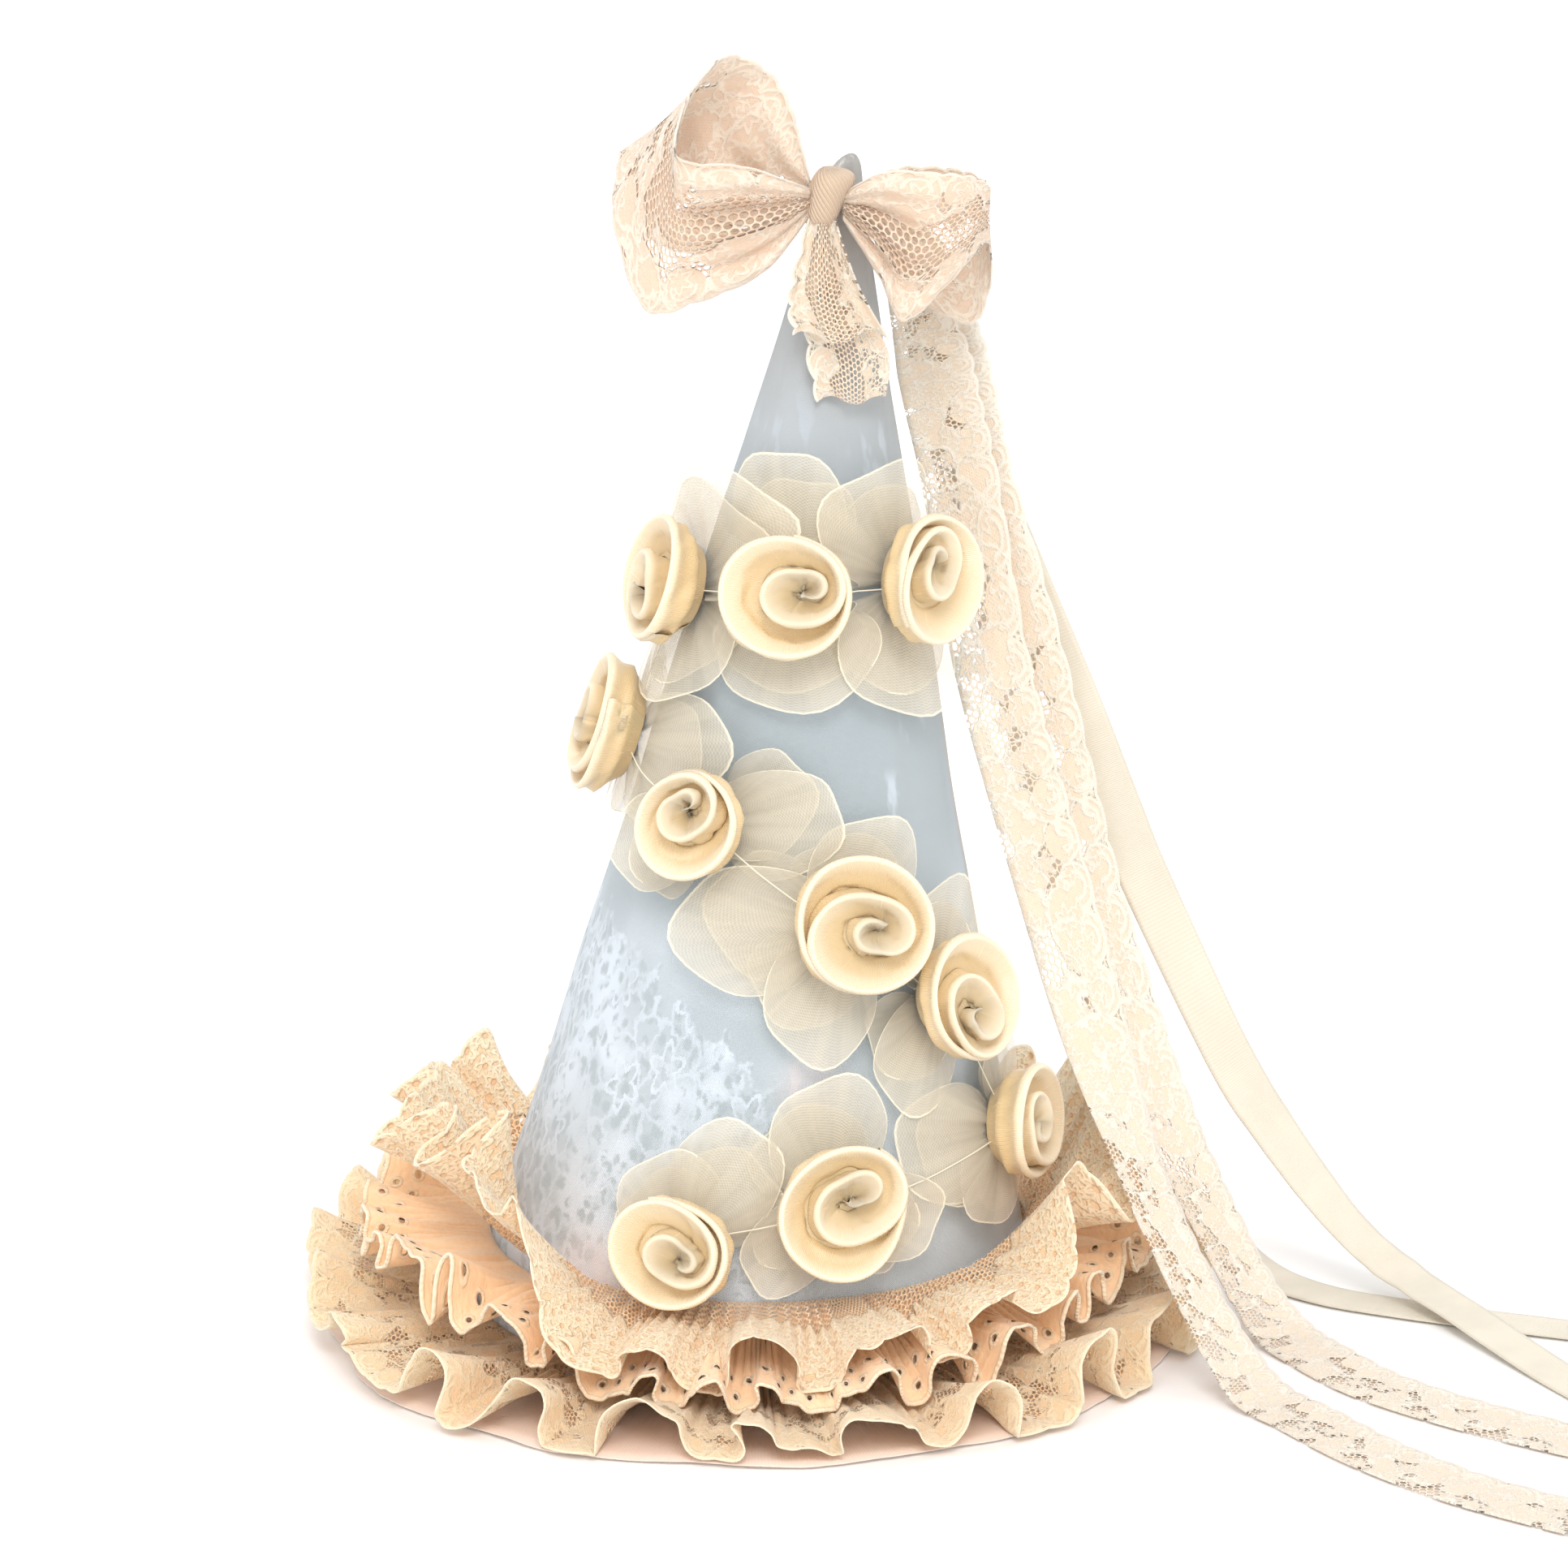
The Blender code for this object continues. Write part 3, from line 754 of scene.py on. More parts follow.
@dataclass(frozen=True)
class Organza:
    """Sheer stiff ribbon: an open weave with a closer selvedge.

    Attributes:
        tone: Colour of the thread.
        selvedge: Colour of the edge.
        width: Width of the flat ribbon.
        sheer: How much of it is there between the threads' noise, low and high.
    """

    tone: Colour = (0.81, 0.73, 0.58)
    selvedge: Colour = (0.95, 0.88, 0.70)
    width: float = 0.028
    sheer: tuple[float, float] = (0.44, 0.54)

    def make(self) -> bpy.types.Material:
        """The material."""
        cloth = Cloth("ivory_organza", 0.42, sheen=0.35, specular=0.35)
        w = cloth.w
        _, across, _ = w.split(cloth.flat)
        weave = w.group(EFFECTS.weave, Vector=cloth.flat, Pitch=0.00068)["Height"]
        cloud = w.noise(w.vector("MULTIPLY", cloth.flat, (420.0, 26.0, 1.0)), 1.0, 3.0)
        body = weave * 0.20 + (w.step(cloud, 0.35, 0.65, *self.sheer) - 0.08)
        close = w.step(across, self.width - 0.0007, self.width - 0.0003, 0.0, 0.28)
        edge = w.step(across, self.width - 0.0008, self.width - 0.0003)
        cloth.feed("Alpha", (body + close).clamped())
        cloth.feed("Base Color", w.mix(edge, self.tone, self.selvedge))
        cloth.relief(weave, 0.00010)
        return cloth.material


@dataclass(frozen=True)
class Lace:
    """Floral lace: net, dense fields with corded lines, and a row of arches at the edge.

    Attributes:
        name: The material's name.
        tone: Colour of the net.
        cord: Colour of the raised cords.
        width: Width of the flat lace.
        cell: Size of the floral fields.
        mesh: Size of a hole of the net.
        dense: Share of the fields that are filled.
        arch: Pitch of the arches.
        fill: How much cloth is there in a filled field.
        both: Whether both edges have arches.
        band: The part of the width where the net is left open, as shares.
        band_end: How far along the lace the open net goes, in metres.
    """

    name: str
    tone: Colour
    cord: Colour
    width: float
    cell: float = 0.010
    mesh: float = 0.0015
    dense: float = 0.55
    arch: float = 0.011
    fill: float = 0.93
    both: bool = False
    band: tuple[float, float] = (0.0, 0.0)
    band_end: float = 1.0

    def make(self) -> bpy.types.Material:
        """The material."""
        cloth = Cloth(self.name, 0.82, sheen=0.25, glow=0.75)
        w = cloth.w
        along, across, _ = w.split(cloth.flat)
        from_edge = self.width - across
        if self.both:
            from_edge = w.least(from_edge, across)
        fields = w.group(EFFECTS.lacework, Vector=cloth.flat, Cell=self.cell, Cord=0.0005, Share=self.dense)
        net = w.group(EFFECTS.net, Vector=cloth.flat, Cell=self.mesh, Hole=0.37)["Thread"]
        tight = w.group(EFFECTS.net, Vector=cloth.flat, Cell=0.00062, Hole=0.30)["Thread"]
        arches = w.group(EFFECTS.arches, Along=along, Edge=from_edge, Pitch=self.arch,
                         Radius=self.arch * 0.47, Cord=0.00045)
        flowers = w.group(EFFECTS.blossom, Vector=cloth.flat, Spacing=self.cell * 0.75, Size=0.42, Petals=6.0,
                          Line=0.28, Stray=0.8)
        border = w.step(from_edge, 0.0011, 0.0007)
        opened = self._opened(cloth, along, across)
        cords = w.greatest(fields["Cord"], arches["Line"], border, flowers["Outline"] * 0.8)
        cords = cords * (opened * -0.9 + 1.0)
        held = w.greatest(fields["Dense"], arches["Inside"], flowers["Inside"]) * (1.0 - opened)
        close = tight * (1.0 - self.fill) + self.fill
        cloth.feed("Alpha", w.greatest(held * close, net, cords))
        shade = w.step(w.noise(cloth.flat, 120.0), 0.35, 0.65, 0.86, 1.0)
        cloth.feed("Base Color", w.mix(cords, w.mix(shade, darker(self.tone, 0.82), self.tone), self.cord))
        cloth.relief(held * 0.45 + cords * 0.8 + tight + w.noise(cloth.flat, 480.0), 0.00034)
        return cloth.material

    def _opened(self, cloth: Cloth, along: Signal, across: Signal) -> Signal:
        """Where the net is left open: 1 on a wandering band and 0 off it."""
        w = cloth.w
        middle = 0.5 * sum(self.band) * self.width
        half = 0.5 * (self.band[1] - self.band[0]) * self.width
        bent = w.noise(cloth.flat, 90.0) * (0.5 * self.width) + (across - 0.25 * self.width)
        band = w.step(abs(bent - middle), half - 0.0008, half + 0.0001, 1.0, 0.0)
        return band * w.math("LESS_THAN", along, self.band_end)


@dataclass(frozen=True)
class EmbroideredNet:
    """Fine net with a broad band of small ring flowers along its free edge, for the upper ruffle.

    Attributes:
        tone: Colour of the net.
        thread: Colour of the raised embroidery.
        low: Darker colour of the cloth between the raised flowers: painted shade.
        eye: Darker colour in the flowers' sunken eyes: painted shade.
        width: Width of the flat net.
        band: Share of the width that is embroidered.
    """

    tone: Colour = (0.99, 0.67, 0.43)
    thread: Colour = (1.0, 0.75, 0.52)
    low: Colour = (0.93, 0.60, 0.36)
    eye: Colour = (0.86, 0.52, 0.30)
    width: float = 0.036
    band: float = 0.68

    def make(self) -> bpy.types.Material:
        """The material."""
        cloth = Cloth("embroidered_net", 0.85, sheen=0.3, glow=0.75)
        w = cloth.w
        _, across, _ = w.split(cloth.flat)
        from_edge = self.width - across
        limit = w.noise(cloth.flat, 90.0) * (self.width * 0.5) + self.width * (self.band - 0.25)
        inside = w.step(limit - from_edge, 0.0, 0.0012)
        net = w.group(EFFECTS.net, Vector=cloth.flat, Cell=0.00150, Hole=0.34)["Thread"]
        big = w.group(EFFECTS.blossom, Vector=cloth.flat, Spacing=0.0056, Size=0.46, Petals=6.0, Line=0.34,
                      Stray=0.5)
        small = w.group(EFFECTS.blossom, Vector=cloth.flat, Spacing=0.0031, Size=0.46, Petals=5.0, Line=0.45,
                        Stray=0.8)
        rings = w.greatest(big["Outline"], small["Outline"] * 0.7 * (1.0 - big["Inside"]))
        filled = w.greatest(big["Inside"], small["Inside"])
        edge = w.step(from_edge, 0.0016, 0.0006)
        stitched = w.greatest(inside * (filled * 0.10 + 0.90), edge)
        raised = w.greatest(inside * rings, edge * 0.7)
        eye = inside * big["Eye"]
        cloth.feed("Alpha", w.greatest(net, stitched))
        # Painted shade: the cloth between the raised flowers and the sunken eyes are painted darker.
        tone = w.mix(raised, w.mix(inside * (1.0 - filled), self.tone, self.low), self.thread)
        cloth.feed("Base Color", w.mix(eye, tone, self.eye))
        cloth.relief(raised + stitched * 0.4 - eye, 0.0008)
        return cloth.material


@dataclass(frozen=True)
class EyeletCotton:
    """Thick crinkled cotton with two rows of stitched eyelets, for the narrow frill.

    Attributes:
        tone: Colour of the cloth.
        thread: Colour of the stitches round an eyelet and along the edge.
        pitch: Distance between eyelets.
        stitch: Distance between stitches.
        rows: Distance of each row from the free edge.
        width: Width of the flat frill.
    """

    tone: Colour = (0.99, 0.69, 0.45)
    thread: Colour = (0.99, 0.78, 0.56)
    pitch: float = 0.0062
    stitch: float = 0.0007
    rows: tuple[float, float] = (0.0040, 0.0086)
    width: float = 0.030

    def make(self) -> bpy.types.Material:
        """The material."""
        cloth = Cloth("eyelet_cotton", 0.88, sheen=0.3, glow=0.75)
        w = cloth.w
        along, across, _ = w.split(cloth.flat)
        from_edge = self.width - across
        nearest = w.least(*(self._reach(w, along / self.pitch + 0.5 * order, from_edge - row)
                            for order, row in enumerate(self.rows)))
        rim = w.step(abs(nearest - 0.00120), 0.00020, 0.00048, 1.0, 0.0)
        raised = w.greatest(rim, w.step(from_edge, 0.0011, 0.0007))
        crinkle = w.noise(cloth.flat, 700.0, 3.0)
        stitches = w.math("SINE", along * (math.tau / self.stitch))
        cloth.feed("Alpha", w.step(nearest, 0.00062, 0.00078))
        # Painted shade: the colour darkens where the crinkle's relief is low.
        light = w.step(crinkle, 0.3, 0.7, 0.72, 1.0)
        cloth.feed("Base Color", w.mix(light, darker(self.tone, 0.78), w.mix(raised, self.tone, self.thread)))
        cloth.relief(raised + raised * stitches * 0.25 + crinkle * 1.2, 0.00035)
        return cloth.material

    def _reach(self, w: Wiring, order: Signal, y: Signal) -> Signal:
        """The distance to the nearest eyelet of a row.

        Args:
            w: The wiring.
            order: The place along the row, one for each eyelet.
            y: The distance to the row.

        Returns:
            The distance.
        """
        x = (w.math("FRACT", order) - 0.5) * self.pitch
        return w.math("SQRT", x * x + y * y)


@dataclass(frozen=True)
class WovenRibbon:
    """A plain woven cloth or ribbon with fine ribs.

    Attributes:
        name: The material's name.
        tone: Its colour.
        rib: Distance between ribs.
        slant: How far the ribs lean along the cloth.
        body: How opaque it is.
        matt: Its roughness.
        depth: Depth of the ribs.
        mark: How much darker the cloth is between the ribs.
    """

    name: str
    tone: Colour
    rib: float = 0.0006
    slant: float = 0.0
    body: float = 1.0
    matt: float = 0.5
    depth: float = 0.00006
    mark: float = 0.12

    def make(self) -> bpy.types.Material:
        """The material."""
        cloth = Cloth(self.name, self.matt, sheen=0.3, specular=0.35)
        w = cloth.w
        along, across, _ = w.split(cloth.flat)
        ribs = w.math("SINE", (across * self.slant + along) * (math.tau / self.rib)) * 0.5 + 0.5
        cloud = w.noise(cloth.flat, 70.0, 3.0)
        tone = w.mix(w.step(cloud, 0.3, 0.7, 0.82, 1.0), darker(self.tone, 0.86), self.tone)
        cloth.feed("Base Color", w.mix(ribs * self.mark, tone, darker(self.tone, 0.7)))
        if self.body < 1.0:
            cloth.feed("Alpha", (cloud * 0.18 + (self.body - 0.09)).clamped())
        cloth.relief(w.noise(cloth.flat, 1200.0) * 0.5 + ribs, self.depth)
        return cloth.material


class Finish(Enum):
    """Every finish of the hat, by the piece that it is made for."""

    CONE = PrintedCotton()
    CARD = WovenRibbon("pale_card", (0.80, 0.78, 0.74), rib=0.0011, matt=0.9, depth=0.00003)
    SATIN = Satin()
    ORGANZA = Organza()
    BOW = Lace("bow_lace", (0.84, 0.64, 0.49), (0.92, 0.76, 0.62), 0.040, cell=0.0105, mesh=0.00190,
               band=(0.30, 0.62), band_end=0.046, both=True)
    TAIL = Lace("tail_lace", (0.92, 0.72, 0.55), (0.97, 0.84, 0.69), 0.024, cell=0.0080, mesh=0.00130,
                dense=0.40, band=(0.30, 0.70))
    STREAMER = Lace("streamer_lace", (0.95, 0.74, 0.57), (0.98, 0.84, 0.70), 0.018, cell=0.0078,
                    mesh=0.00150, dense=0.48, arch=0.0085)
    FLOUNCE = Lace("blush_lace", (1.0, 0.67, 0.42), (1.0, 0.74, 0.50), 0.042, cell=0.0065, mesh=0.00125,
                   dense=0.60, arch=0.008)
    BASE = WovenRibbon("blush_voile", (0.92, 0.76, 0.65), rib=0.0007, matt=0.85, depth=0.00005)
    UPPER = EmbroideredNet()
    FRILL = EyeletCotton()
    KNOT = WovenRibbon("bow_twill", (0.80, 0.60, 0.43), rib=0.00115, slant=0.8, matt=0.85, depth=0.00035,
                       mark=0.45)
    CREAM = WovenRibbon("cream_ribbon", (0.80, 0.73, 0.60), rib=0.0005, body=0.95)
    THREAD = WovenRibbon("cream_thread", (0.90, 0.85, 0.70), rib=0.0004, slant=1.0, matt=0.6)


@cache
def material_of(finish: Finish) -> bpy.types.Material:
    """The material of a finish, made when a piece first asks for it."""
    return finish.value.make()


# ---------------------------------------------------------------- studio


@dataclass
class Studio:
    """White surface, soft light from all round, and the camera at the photograph's angle.

    Attributes:
        eye: Where the camera stands.
        target: What it looks at.
        lens: Focal length in mm, on a 36 mm sensor.
        floor_size: Side of the surface in metres.
        room: Strength of the light from all round.
        key: Strength of the key light.
        key_spread: How wide the key light is, in degrees.
        key_turn: Height and swing of the key light in degrees.
        paper: Colour of the surface.
    """

    eye: Vector = field(default_factory=lambda: Vector((0.0075, -1.30, 0.50)))
    target: Vector = field(default_factory=lambda: Vector((0.0075, 0.0, 0.128)))
    lens: float = 132.6
    floor_size: float = 9.0
    room: float = 1.10
    key: float = 1.25
    key_spread: float = 24.0
    key_turn: tuple[float, float] = (42.0, 2.0)
    paper: Colour = (0.96, 0.96, 0.96)

    def build(self) -> None:
        """Makes the camera, the lights and the surface."""
        self._camera()
        self._light()
        self._surface()

    def _camera(self) -> None:
        """The camera, square on the hat's middle."""
        data = bpy.data.cameras.new("camera")
        data.lens, data.sensor_width = self.lens, 36.0
        data.clip_start, data.clip_end = 0.01, 50.0
        camera = bpy.data.objects.new("camera", data)
        camera.location = self.eye
        camera.rotation_euler = (self.target - self.eye).to_track_quat("-Z", "Y").to_euler()
        bpy.context.scene.collection.objects.link(camera)
        bpy.context.scene.camera = camera

    def _light(self) -> None:
        """A bright even room and a broad key from high in front."""
        world = bpy.data.worlds.new("white_room")
        world.use_nodes = True
        room = world.node_tree.nodes["Background"]
        room.inputs["Color"].default_value = (1.0, 1.0, 1.0, 1.0)
        room.inputs["Strength"].default_value = self.room
        bpy.context.scene.world = world
        key = bpy.data.lights.new("key", "SUN")
        key.energy, key.angle = self.key, math.radians(self.key_spread)
        lamp = bpy.data.objects.new("key", key)
        lamp.rotation_euler = (math.radians(self.key_turn[0]), 0.0, math.radians(self.key_turn[1]))
        bpy.context.scene.collection.objects.link(lamp)
        scene = bpy.context.scene
        scene.view_settings.view_transform = "Standard"
        scene.view_settings.look = "None"

    def _surface(self) -> None:
        """The plain white surface that the hat stands on."""
        bm = bmesh.new()
        bmesh.ops.create_grid(bm, x_segments=1, y_segments=1, size=self.floor_size / 2.0)
        mesh = bpy.data.meshes.new("surface")
        bm.to_mesh(mesh)
        bm.free()
        surface = bpy.data.objects.new("surface", mesh)
        paper = bpy.data.materials.new("white_paper")
        paper.use_nodes = True
        shader = paper.node_tree.nodes["Principled BSDF"]
        shader.inputs["Base Color"].default_value = (*self.paper, 1.0)
        shader.inputs["Roughness"].default_value = 0.9
        shader.inputs["Specular IOR Level"].default_value = 0.1
        mesh.materials.append(paper)
        bpy.context.scene.collection.objects.link(surface)


# ---------------------------------------------------------------- ribbons that trail


class Way(NamedTuple):
    """A point that a ribbon's middle passes, in mm, and which way its face looks there, in degrees."""

    x: float
    y: float
    z: float
    turn: float
    lift: float


@dataclass(frozen=True)
class Streamer:
    """One flat ribbon from the knot to its free end.

    Attributes:
        name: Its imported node.
        slot: The record's material slot.
        finish: Its material.
        width: Width of the flat ribbon.
        scallop: Depth of its scalloped side, or 0.
        route: The points of its middle.
    """

    name: str
    slot: str
    finish: Finish
    width: float
    scallop: float
    route: tuple[Way, ...]


def ways(*rows: tuple[float, ...]) -> tuple[Way, ...]:
    """Route points from rows of x, y, z, turn and lift."""
    return tuple(Way(*row) for row in rows)


@dataclass
class Streamers:
    """The two lace ribbons and the two ends of the cream ribbon.

    Attributes:
        gathered: Width left where a ribbon leaves the knot.
        gather_share: Share of the route over which it opens out.
        arch: Pitch of the scallops.
        cockle: Depth of the soft bends in a hanging ribbon.
        wall: Thickness of a ribbon.
        columns: Faces along each ribbon.
        rows: Faces across each ribbon.
        ribbons: The four ribbons.
    """

    gathered: float = 0.35
    gather_share: float = 0.14
    arch: float = 8.5 * MM
    cockle: float = 0.5 * MM
    wall: float = 0.35 * MM
    columns: int = 420
    rows: int = 10
    ribbons: tuple[Streamer, ...] = (
        Streamer("lace_streamer_a", "streamer_lace", Finish.STREAMER, 18.0 * MM, 0.9 * MM, ways(
            (31, 1, 261, -90, 0), (36, 2, 246, -90, 0), (41, 2.5, 232, -90, 0), (44, 2.5, 219, -90, 0),
            (48.5, 2, 199, -90, 0), (55.5, 0, 159, -88, 0), (63, -4, 131, -84, 0), (71, -9, 104, -78, 4),
            (80, -18, 73, -62, 12), (87, -28, 53, -44, 22), (94, -40, 37, -34, 34),
            (102, -51, 22, -30, 50), (110, -60, 9, -30, 68), (117, -68, 2, -34, 84),
            (126, -79, 0.9, -45, 90), (139, -99, 0.9, -45, 90), (157, -119, 0.9, -45, 90),
            (178, -135, 0.9, -45, 90), (196, -147, 0.9, -45, 90))),
        Streamer("lace_streamer_b", "streamer_lace", Finish.STREAMER, 18.0 * MM, 0.9 * MM, ways(
            (31, 4.5, 264, -90, 0), (38, 6, 249, -90, 0), (44, 6.5, 234, -90, 0),
            (47.5, 6.5, 221, -90, 0), (52, 6, 200, -90, 0), (62.5, 5, 164, -90, 0),
            (71, 3.5, 131, -84, 0), (79, 1, 100, -76, 4), (91, -3, 65, -60, 14), (101, -8, 42, -46, 26),
            (110, -14, 24, -40, 42), (118, -21, 10, -38, 62), (125, -29, 2.4, -40, 82),
            (132, -40, 0.9, -45, 90), (144, -59, 0.9, -45, 90), (162, -76, 0.9, -45, 90),
            (183, -91, 0.9, -45, 90), (200, -101, 0.9, -45, 90))),
        Streamer("cream_streamer_c", "cream_ribbon", Finish.CREAM, 12.0 * MM, 0.0, ways(
            (30, 9, 266, -90, 0), (38, 10.5, 247, -90, 0), (46, 11, 222, -90, 0), (54, 10.5, 198, -90, 0),
            (63, 10, 176, -90, 0), (76, 9, 145, -88, 0), (85, 8.5, 122, -84, 2), (94, 8, 100, -80, 6),
            (114, 7, 58, -70, 18), (126, 6, 38.5, -64, 30), (140, 4, 20, -60, 48), (151, 0, 10, -60, 64),
            (160, -8, 5.4, -64, 78), (168, -20, 3.8, -60, 88), (177, -36, 2.2, -60, 90),
            (187, -54, 0.9, -60, 90), (198, -74, 0.9, -60, 90))),
        Streamer("cream_streamer_d", "cream_ribbon", Finish.CREAM, 12.0 * MM, 0.0, ways(
            (21, 7.4, 264, 90, 8), (19.4, 13.8, 240, 90, 12), (17, 22.5, 204, 90, 12),
            (15, 32.5, 162, 90, 12), (14, 43, 118, 90, 14), (16, 53, 80, 88, 22), (22, 64, 58, 80, 42),
            (31, 76, 48, 70, 58), (44, 88, 38, 62, 50), (60, 100, 22, 56, 36), (74, 106, 8, 50, 60),
            (87, 102, 1.4, 40, 88), (99, 86, 0.9, 20, 90), (109, 64, 0.9, 10, 90),
            (114.5, 44, 0.9, 0, 90), (118.6, 26, 0.9, -10, 90), (126, 10, 0.9, -40, 90),
            (138, -2, 0.9, -80, 90), (154, -10, 0.9, -80, 90), (172, -17, 0.9, -80, 90),
            (192, -24, 0.9, -80, 90), (203, -27.5, 0.9, -80, 90))),
    )

    def build(self) -> None:
        """Makes each ribbon and says how long it is."""
        for ribbon in self.ribbons:
            path = traced(lambda share, r=ribbon: self._middle(r, share), 60)
            length = length_of(path)
            bm = woven(self.columns, self.rows, lambda u, v, r=ribbon, n=length: self._point(r, n, u, v),
                       (length, ribbon.width))
            piece = finish_piece("trailing_" + ribbon.name, bm, [ribbon.finish], ribbon.slot,
                                 [ribbon.name], wall=self.wall)
            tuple(path[0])
            log.info("%s is %.3f m long", ribbon.name, length)

    @staticmethod
    def _middle(ribbon: Streamer, share: float) -> Vector:
        """A point of the ribbon's middle line."""
        return Vector(spline(ribbon.route, share)[:3]) * MM

    def _point(self, ribbon: Streamer, length: float, share: float, side: float) -> Vector:
        """A point of the ribbon.

        Args:
            ribbon: Which ribbon.
            length: Its length in metres.
            share: The way along it.
            side: The way across it.

        Returns:
            The point.
        """
        *_, turn, lift = spline(ribbon.route, share)
        ahead = self._middle(ribbon, share + 0.01) - self._middle(ribbon, share - 0.01)
        turn, lift = math.radians(turn), math.radians(lift)
        face = Vector((math.cos(turn) * math.cos(lift), math.sin(turn) * math.cos(lift), math.sin(lift)))
        spread = self.gathered + (1.0 - self.gathered) * eased(share / self.gather_share)
        across = ahead.cross(face).normalized()
        half = (0.5 - side) * ribbon.width * spread
        wave = abs(math.sin(math.pi * share * length / self.arch)) ** 0.6
        half += ribbon.scallop * (1.0 - wave) * max(0.0, 2.0 * side - 1.0) ** 3
        cockle = self.cockle * wander(share * 22.0 + side * 0.6, ribbon.width * 900)
        cockle *= 1.0 - eased((lift - 1.2) * 3.0)
        return self._middle(ribbon, share) + across * half + face * cockle


# ---------------------------------------------------------------- cone


@dataclass
class HatCone:
    """The hollow cloth-covered cone with its soft dents, lapped seam and pinched tip.

    Attributes:
        wall: Thickness of card and cloth.
        shoulder: Height where the straight side ends.
        tip: Height and radius of the rounded tip, in mm.
        straight: Share of the rows on the straight side.
        tip_pinch: Depth of the tip against its width.
        dent: Depth of the soft dents.
        seam_turn: Turn of the lapped seam.
        seam: Height and half width of the seam's ridge.
        columns: Faces round it.
        rows: Faces up it.
    """

    wall: float = 1.6 * MM
    shoulder: float = 262.0 * MM
    tip: tuple[tuple[float, float], ...] = (
        (262.0, 5.775), (267.0, 4.9), (271.0, 4.1), (274.0, 3.2), (275.8, 2.1), (276.7, 1.0), (277.0, 0.0))
    straight: float = 0.93
    tip_pinch: float = 0.8
    dent: float = 0.9 * MM
    seam_turn: float = -6.0
    seam: tuple[float, float] = (0.7 * MM, 2.2 * MM)
    columns: int = 220
    rows: int = 110

    def build(self) -> None:
        """Makes the cone."""
        around = math.tau * CONE.rim_radius
        bm = woven(self.columns, self.rows, self._point, (around, 0.285), ring=True)
        cone = finish_piece("printed_cone", bm, [Finish.CONE, Finish.CARD], "printed_cotton",
                            ["cone_shell"], wall=self.wall, offset=-1.0)
        cone.modifiers["cloth"].material_offset = 1

    def _point(self, around: float, up: float) -> Vector:
        """A point of the outer face, from shares round it and up it."""
        turn = -180.0 + 360.0 * around
        angle = math.radians(turn)
        if up < self.straight:
            height = self.shoulder * up / self.straight
            radius = CONE.radius(height)
            pinch = 1.0
        else:
            share = (up - self.straight) / (1.0 - self.straight)
            height, radius = (value * MM for value in spline(self.tip, share))
            pinch = 1.0 - (1.0 - self.tip_pinch) * eased(share)
        free = eased(height / 0.02) * min(1.0, radius / 0.012)
        bend = Vector((math.cos(angle) * 1.6, math.sin(angle) * 1.6, height * 14.0))
        dents = noise.fractal(bend, 0.6, 2.0, 2)
        creases = noise.noise(Vector((math.cos(angle) * 5.0, math.sin(angle) * 5.0, height * 9.0)))
        radius += self.dent * free * (dents - 0.25 + 0.5 * creases)
        away = abs((turn - self.seam_turn + 180.0) % 360.0 - 180.0) * math.radians(1.0) * radius
        ridge, half = self.seam
        radius += ridge * free * math.exp(-(away / half) ** 2)
        peak = 5.0 * (1.0 - pinch)
        x = CONE.lean * height + radius * math.cos(angle) + 1.5 * MM * peak
        return Vector((x, radius * math.sin(angle) * pinch, height + 0.22 * radius * math.cos(angle) * peak))


# ---------------------------------------------------------------- brim


class Stand(NamedTuple):
    """How steeply the ruffles stand at a turn, in degrees above the surface."""

    turn: float
    angle: float


@dataclass(frozen=True)
class Ruffle:
    """One gathered layer of the brim, sewn round the cone. Lengths in mm.

    Attributes:
        name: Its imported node.
        slot: The record's material slot.
        finish: Its material.
        root: Height of its sewn edge.
        width: Width of the flat cloth.
        share: Its share of the stand.
        rise: Degrees added to that.
        wave: Height of its folds.
        calm: Share of the width with no folds.
        folds: Folds round the cone.
        swing: How far a fold rolls over sideways.
        low_cut: Width lost where it lies low.
        curl: How far the free edge turns over.
        arch: Pitch of its scallops.
        scallop: Depth of its scallops.
        wall: Thickness of the cloth.
    """

    name: str
    slot: str
    finish: Finish
    root: float
    width: float
    share: float
    rise: float
    wave: float
    calm: float
    folds: int
    swing: float
    low_cut: float
    curl: float
    arch: float
    scallop: float
    wall: float


